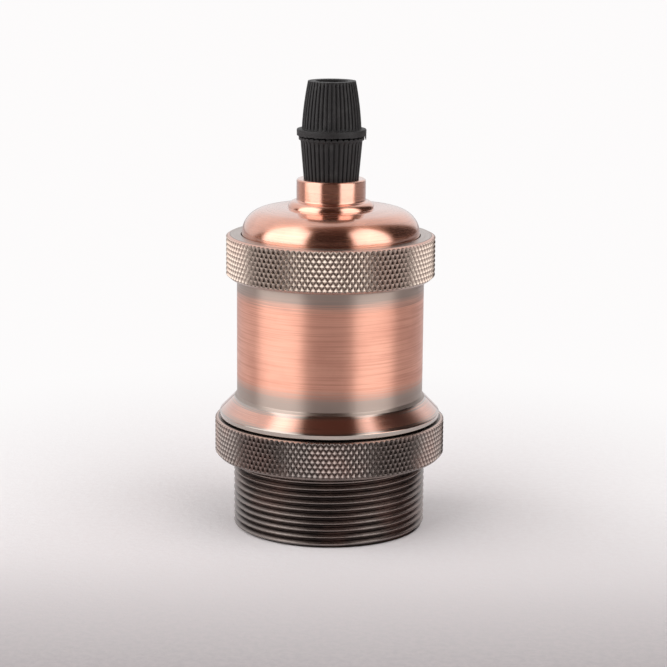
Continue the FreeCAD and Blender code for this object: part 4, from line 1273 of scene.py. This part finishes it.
@dataclass
class Studio:
    """Floor, background and lights."""

    floor_size: float = 6.0
    fade_start: float = 0.01
    fade_end: float = 0.155
    round_start: float = 0.15
    round_end: float = 0.36
    fade_back: tuple[float, float] = (-0.06, 0.03)
    seen_shade: tuple[float, float] = (-0.135, 0.03)
    reflected_shade: tuple[float, float] = (-0.42, -0.2)
    floor_colour: Colour = (0.78, 0.745, 0.75)
    shaded_floor: Colour = (0.27, 0.25, 0.255)
    fleck: Colour = (0.60, 0.52, 0.52)
    fleck_share: float = 0.16
    background: Colour = (1.0, 0.985, 0.985)
    room_light: Colour = (0.42, 0.41, 0.41)
    panels: tuple[Panel, ...] = (
        Panel(-1, -1.5, 0.35, 0.12, 0.1, 2.6),
        Panel(1, -1.7, 0.4, -0.12, 0.13, 2.4),
    )
    backdrop_lean: tuple[float, float, float] = (-0.3, 1.0, 0.7)
    backdrop_edge: tuple[float, float] = (0.63, 0.8)
    backdrop_shades: tuple[float, float] = (0.84, 0.95)
    overhead: Colour = (0.09, 0.05, 0.04)
    warm_white: Colour = (1.0, 0.99, 0.98)
    white: Colour = (1.0, 1.0, 1.01)
    dark: Colour = (0.03, 0.018, 0.015)

    def build_floor(self) -> None:
        """Lay the pale floor, which fades into the background."""
        work = bmesh.new()
        bmesh.ops.create_grid(work, x_segments=2, y_segments=2, size=self.floor_size / 2)
        mesh = to_mesh("floor", work)
        floor = to_scene("floor", mesh)
        material = bpy.data.materials.new("studio_floor")
        material.use_nodes = True
        wiring = Wiring(material.node_tree)
        wiring.tree.nodes.clear()
        place = wiring.fed("TexCoord").outputs["Object"]
        far, _, back, _ = wiring.polar(place)
        weave = wiring.fed("TexNoise", Vector=place, Scale=700.0, Detail=5.0, Roughness=0.7).outputs[0]
        ray = wiring.fed("LightPath").outputs
        seen = wiring.ramp(back, *self.seen_shade, 1.0, 0.0)
        reflected = wiring.ramp(back, *self.reflected_shade, 1.0, 0.0)
        colour = wiring.mix(wiring.maths("MULTIPLY", seen, ray["Is Camera Ray"]), self.floor_colour,
                            self.shaded_floor)
        colour = wiring.mix(wiring.maths("MULTIPLY", reflected, ray["Is Glossy Ray"]), colour, self.dark)
        colour = wiring.mix(wiring.ramp(weave, 0.35, 0.65, 0.0, self.fleck_share), colour, self.fleck)
        bump = wiring.fed("Bump", Height=weave, Strength=0.3, Distance=0.0004)
        matt = wiring.fed("BsdfDiffuse", Color=colour, Normal=bump.outputs[0])
        glow = wiring.fed("Emission", Color=(*self.background, 1.0), Strength=0.98)
        behind = wiring.maths("MULTIPLY", wiring.ramp(far, self.fade_start, self.fade_end),
                              wiring.ramp(back, *self.fade_back))
        fade = wiring.maths("MAXIMUM", behind, wiring.ramp(far, self.round_start, self.round_end))
        both = wiring.fed("MixShader", Fac=wiring.maths("MULTIPLY", fade, ray["Is Camera Ray"]))
        wiring.put(both.inputs[1], matt.outputs[0])
        wiring.put(both.inputs[2], glow.outputs[0])
        wiring.fed("OutputMaterial", Surface=both.outputs[0])
        mesh.materials.append(material)

    def build_world(self) -> None:
        """Light the surroundings, with the softboxes and the white backdrop in what metal reflects."""
        world = bpy.data.worlds.new("studio")
        bpy.context.scene.world = world
        world.use_nodes = True
        wiring = Wiring(world.node_tree)
        wiring.tree.nodes.clear()
        direction = wiring.fed("TexCoord").outputs["Generated"]
        parts = wiring.fed("SeparateXYZ", Vector=direction)
        lean = wiring.add("ShaderNodeVectorMath", operation="DOT_PRODUCT")
        wiring.put(lean.inputs[0], direction)
        wiring.put(lean.inputs[1], self.backdrop_lean)
        backdrop = wiring.ramp(lean.outputs["Value"], *self.backdrop_edge)
        shade = wiring.ramp(parts.outputs[2], 0.05, 0.5, *self.backdrop_shades)
        room = wiring.mix(wiring.ramp(parts.outputs[2], 0.6, 1.0), self.dark, self.overhead)
        reflected = wiring.mix(wiring.maths("MULTIPLY", backdrop, shade), room, self.white)
        for panel in self.panels:
            colour = tuple(panel.strength * c for c in self.warm_white)
            reflected = wiring.mix(panel.mask(wiring, parts), reflected, colour)
        ray = wiring.fed("LightPath").outputs
        lit = wiring.mix(ray["Is Glossy Ray"], self.room_light, reflected)
        shown = wiring.mix(ray["Is Camera Ray"], lit, self.background)
        background = wiring.fed("Background", Color=shown, Strength=1.0)
        wiring.fed("OutputWorld", Surface=background.outputs[0])

    def build(self) -> None:
        """Set up the whole studio."""
        self.build_floor()
        self.build_world()
        for box in (
            Softbox("left_softbox", -65.0, 26.0, 0.62, 0.96, 1.15, 6.9),
            Softbox("right_softbox", 54.0, 26.0, 0.62, 0.72, 1.15, 5.0),
        ):
            box.place()
        bpy.context.scene.view_settings.view_transform = "Standard"


NODE_FINISHES = {
    "glazed_porcelain": ("ceramic_sleeve", "ceramic_base"),
    "spring_bronze": ("centre_contact",),
    "terminal_brass": ("contact_rivet", "shell_rivets", "live_strap", "neutral_strap", "live_terminal",
                       "neutral_terminal"),
    "plated_steel": ("live_screw", "neutral_screw", "earth_washer", "earth_screw"),
    "spring_steel": ("retaining_ring",),
}


def dress_nodes(finishes: Finishes) -> None:
    """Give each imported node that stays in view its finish."""
    for finish, names in NODE_FINISHES.items():
        for name in names:
            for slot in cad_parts[name].material_slots:
                slot.material = finishes[finish]
            LOG.info("%s: %s", name, finish)


RINGS = (
    KnurledRing(
        "shade_ring_knurled", "shade_ring", Body.SHADE_RING, "dark_bronze",
        ("dark_bronze_knurl", "dark_bronze_edge", "dark_bronze"),
        23.7, 15.0, 22.85, 0.8, 0.3, 0.85, 130, 7,
        [(19.95, 22.85), (19.85, 22.75), (19.85, 15.1), (19.95, 15.0)]),
    KnurledRing(
        "lock_ring_knurled", "lock_ring", Body.LOCK_RING, "aged_copper",
        # The lock ring's third finish is the greyer copper that carries the painted reflection.
        ("aged_copper_knurl", "aged_copper_edge", "grey_copper_painted_reflection"),
        21.39, 52.05, 60.85, 0.85, 0.4, 0.75, 116, 8,
        [(18.4, 60.85), (18.34, 60.78), (18.34, 59.85), (19.0, 59.85), (19.0, 54.25), (19.45, 54.25),
         (19.45, 52.15), (19.55, 52.05)]),
)


def main() -> None:
    """Build every piece, then the studio and the camera."""
    logging.basicConfig(level=logging.INFO, format="%(name)s: %(message)s")
    finishes = build_finishes()
    Barrel().build(finishes)
    for ring in RINGS:
        ring.build(finishes)
    Cap().build(finishes)
    CordGrip().build(finishes)
    ScrewShell().build(finishes)
    dress_nodes(finishes)
    Studio().build()
    PhotoCamera().place()


if __name__ == "__main__":
    main()
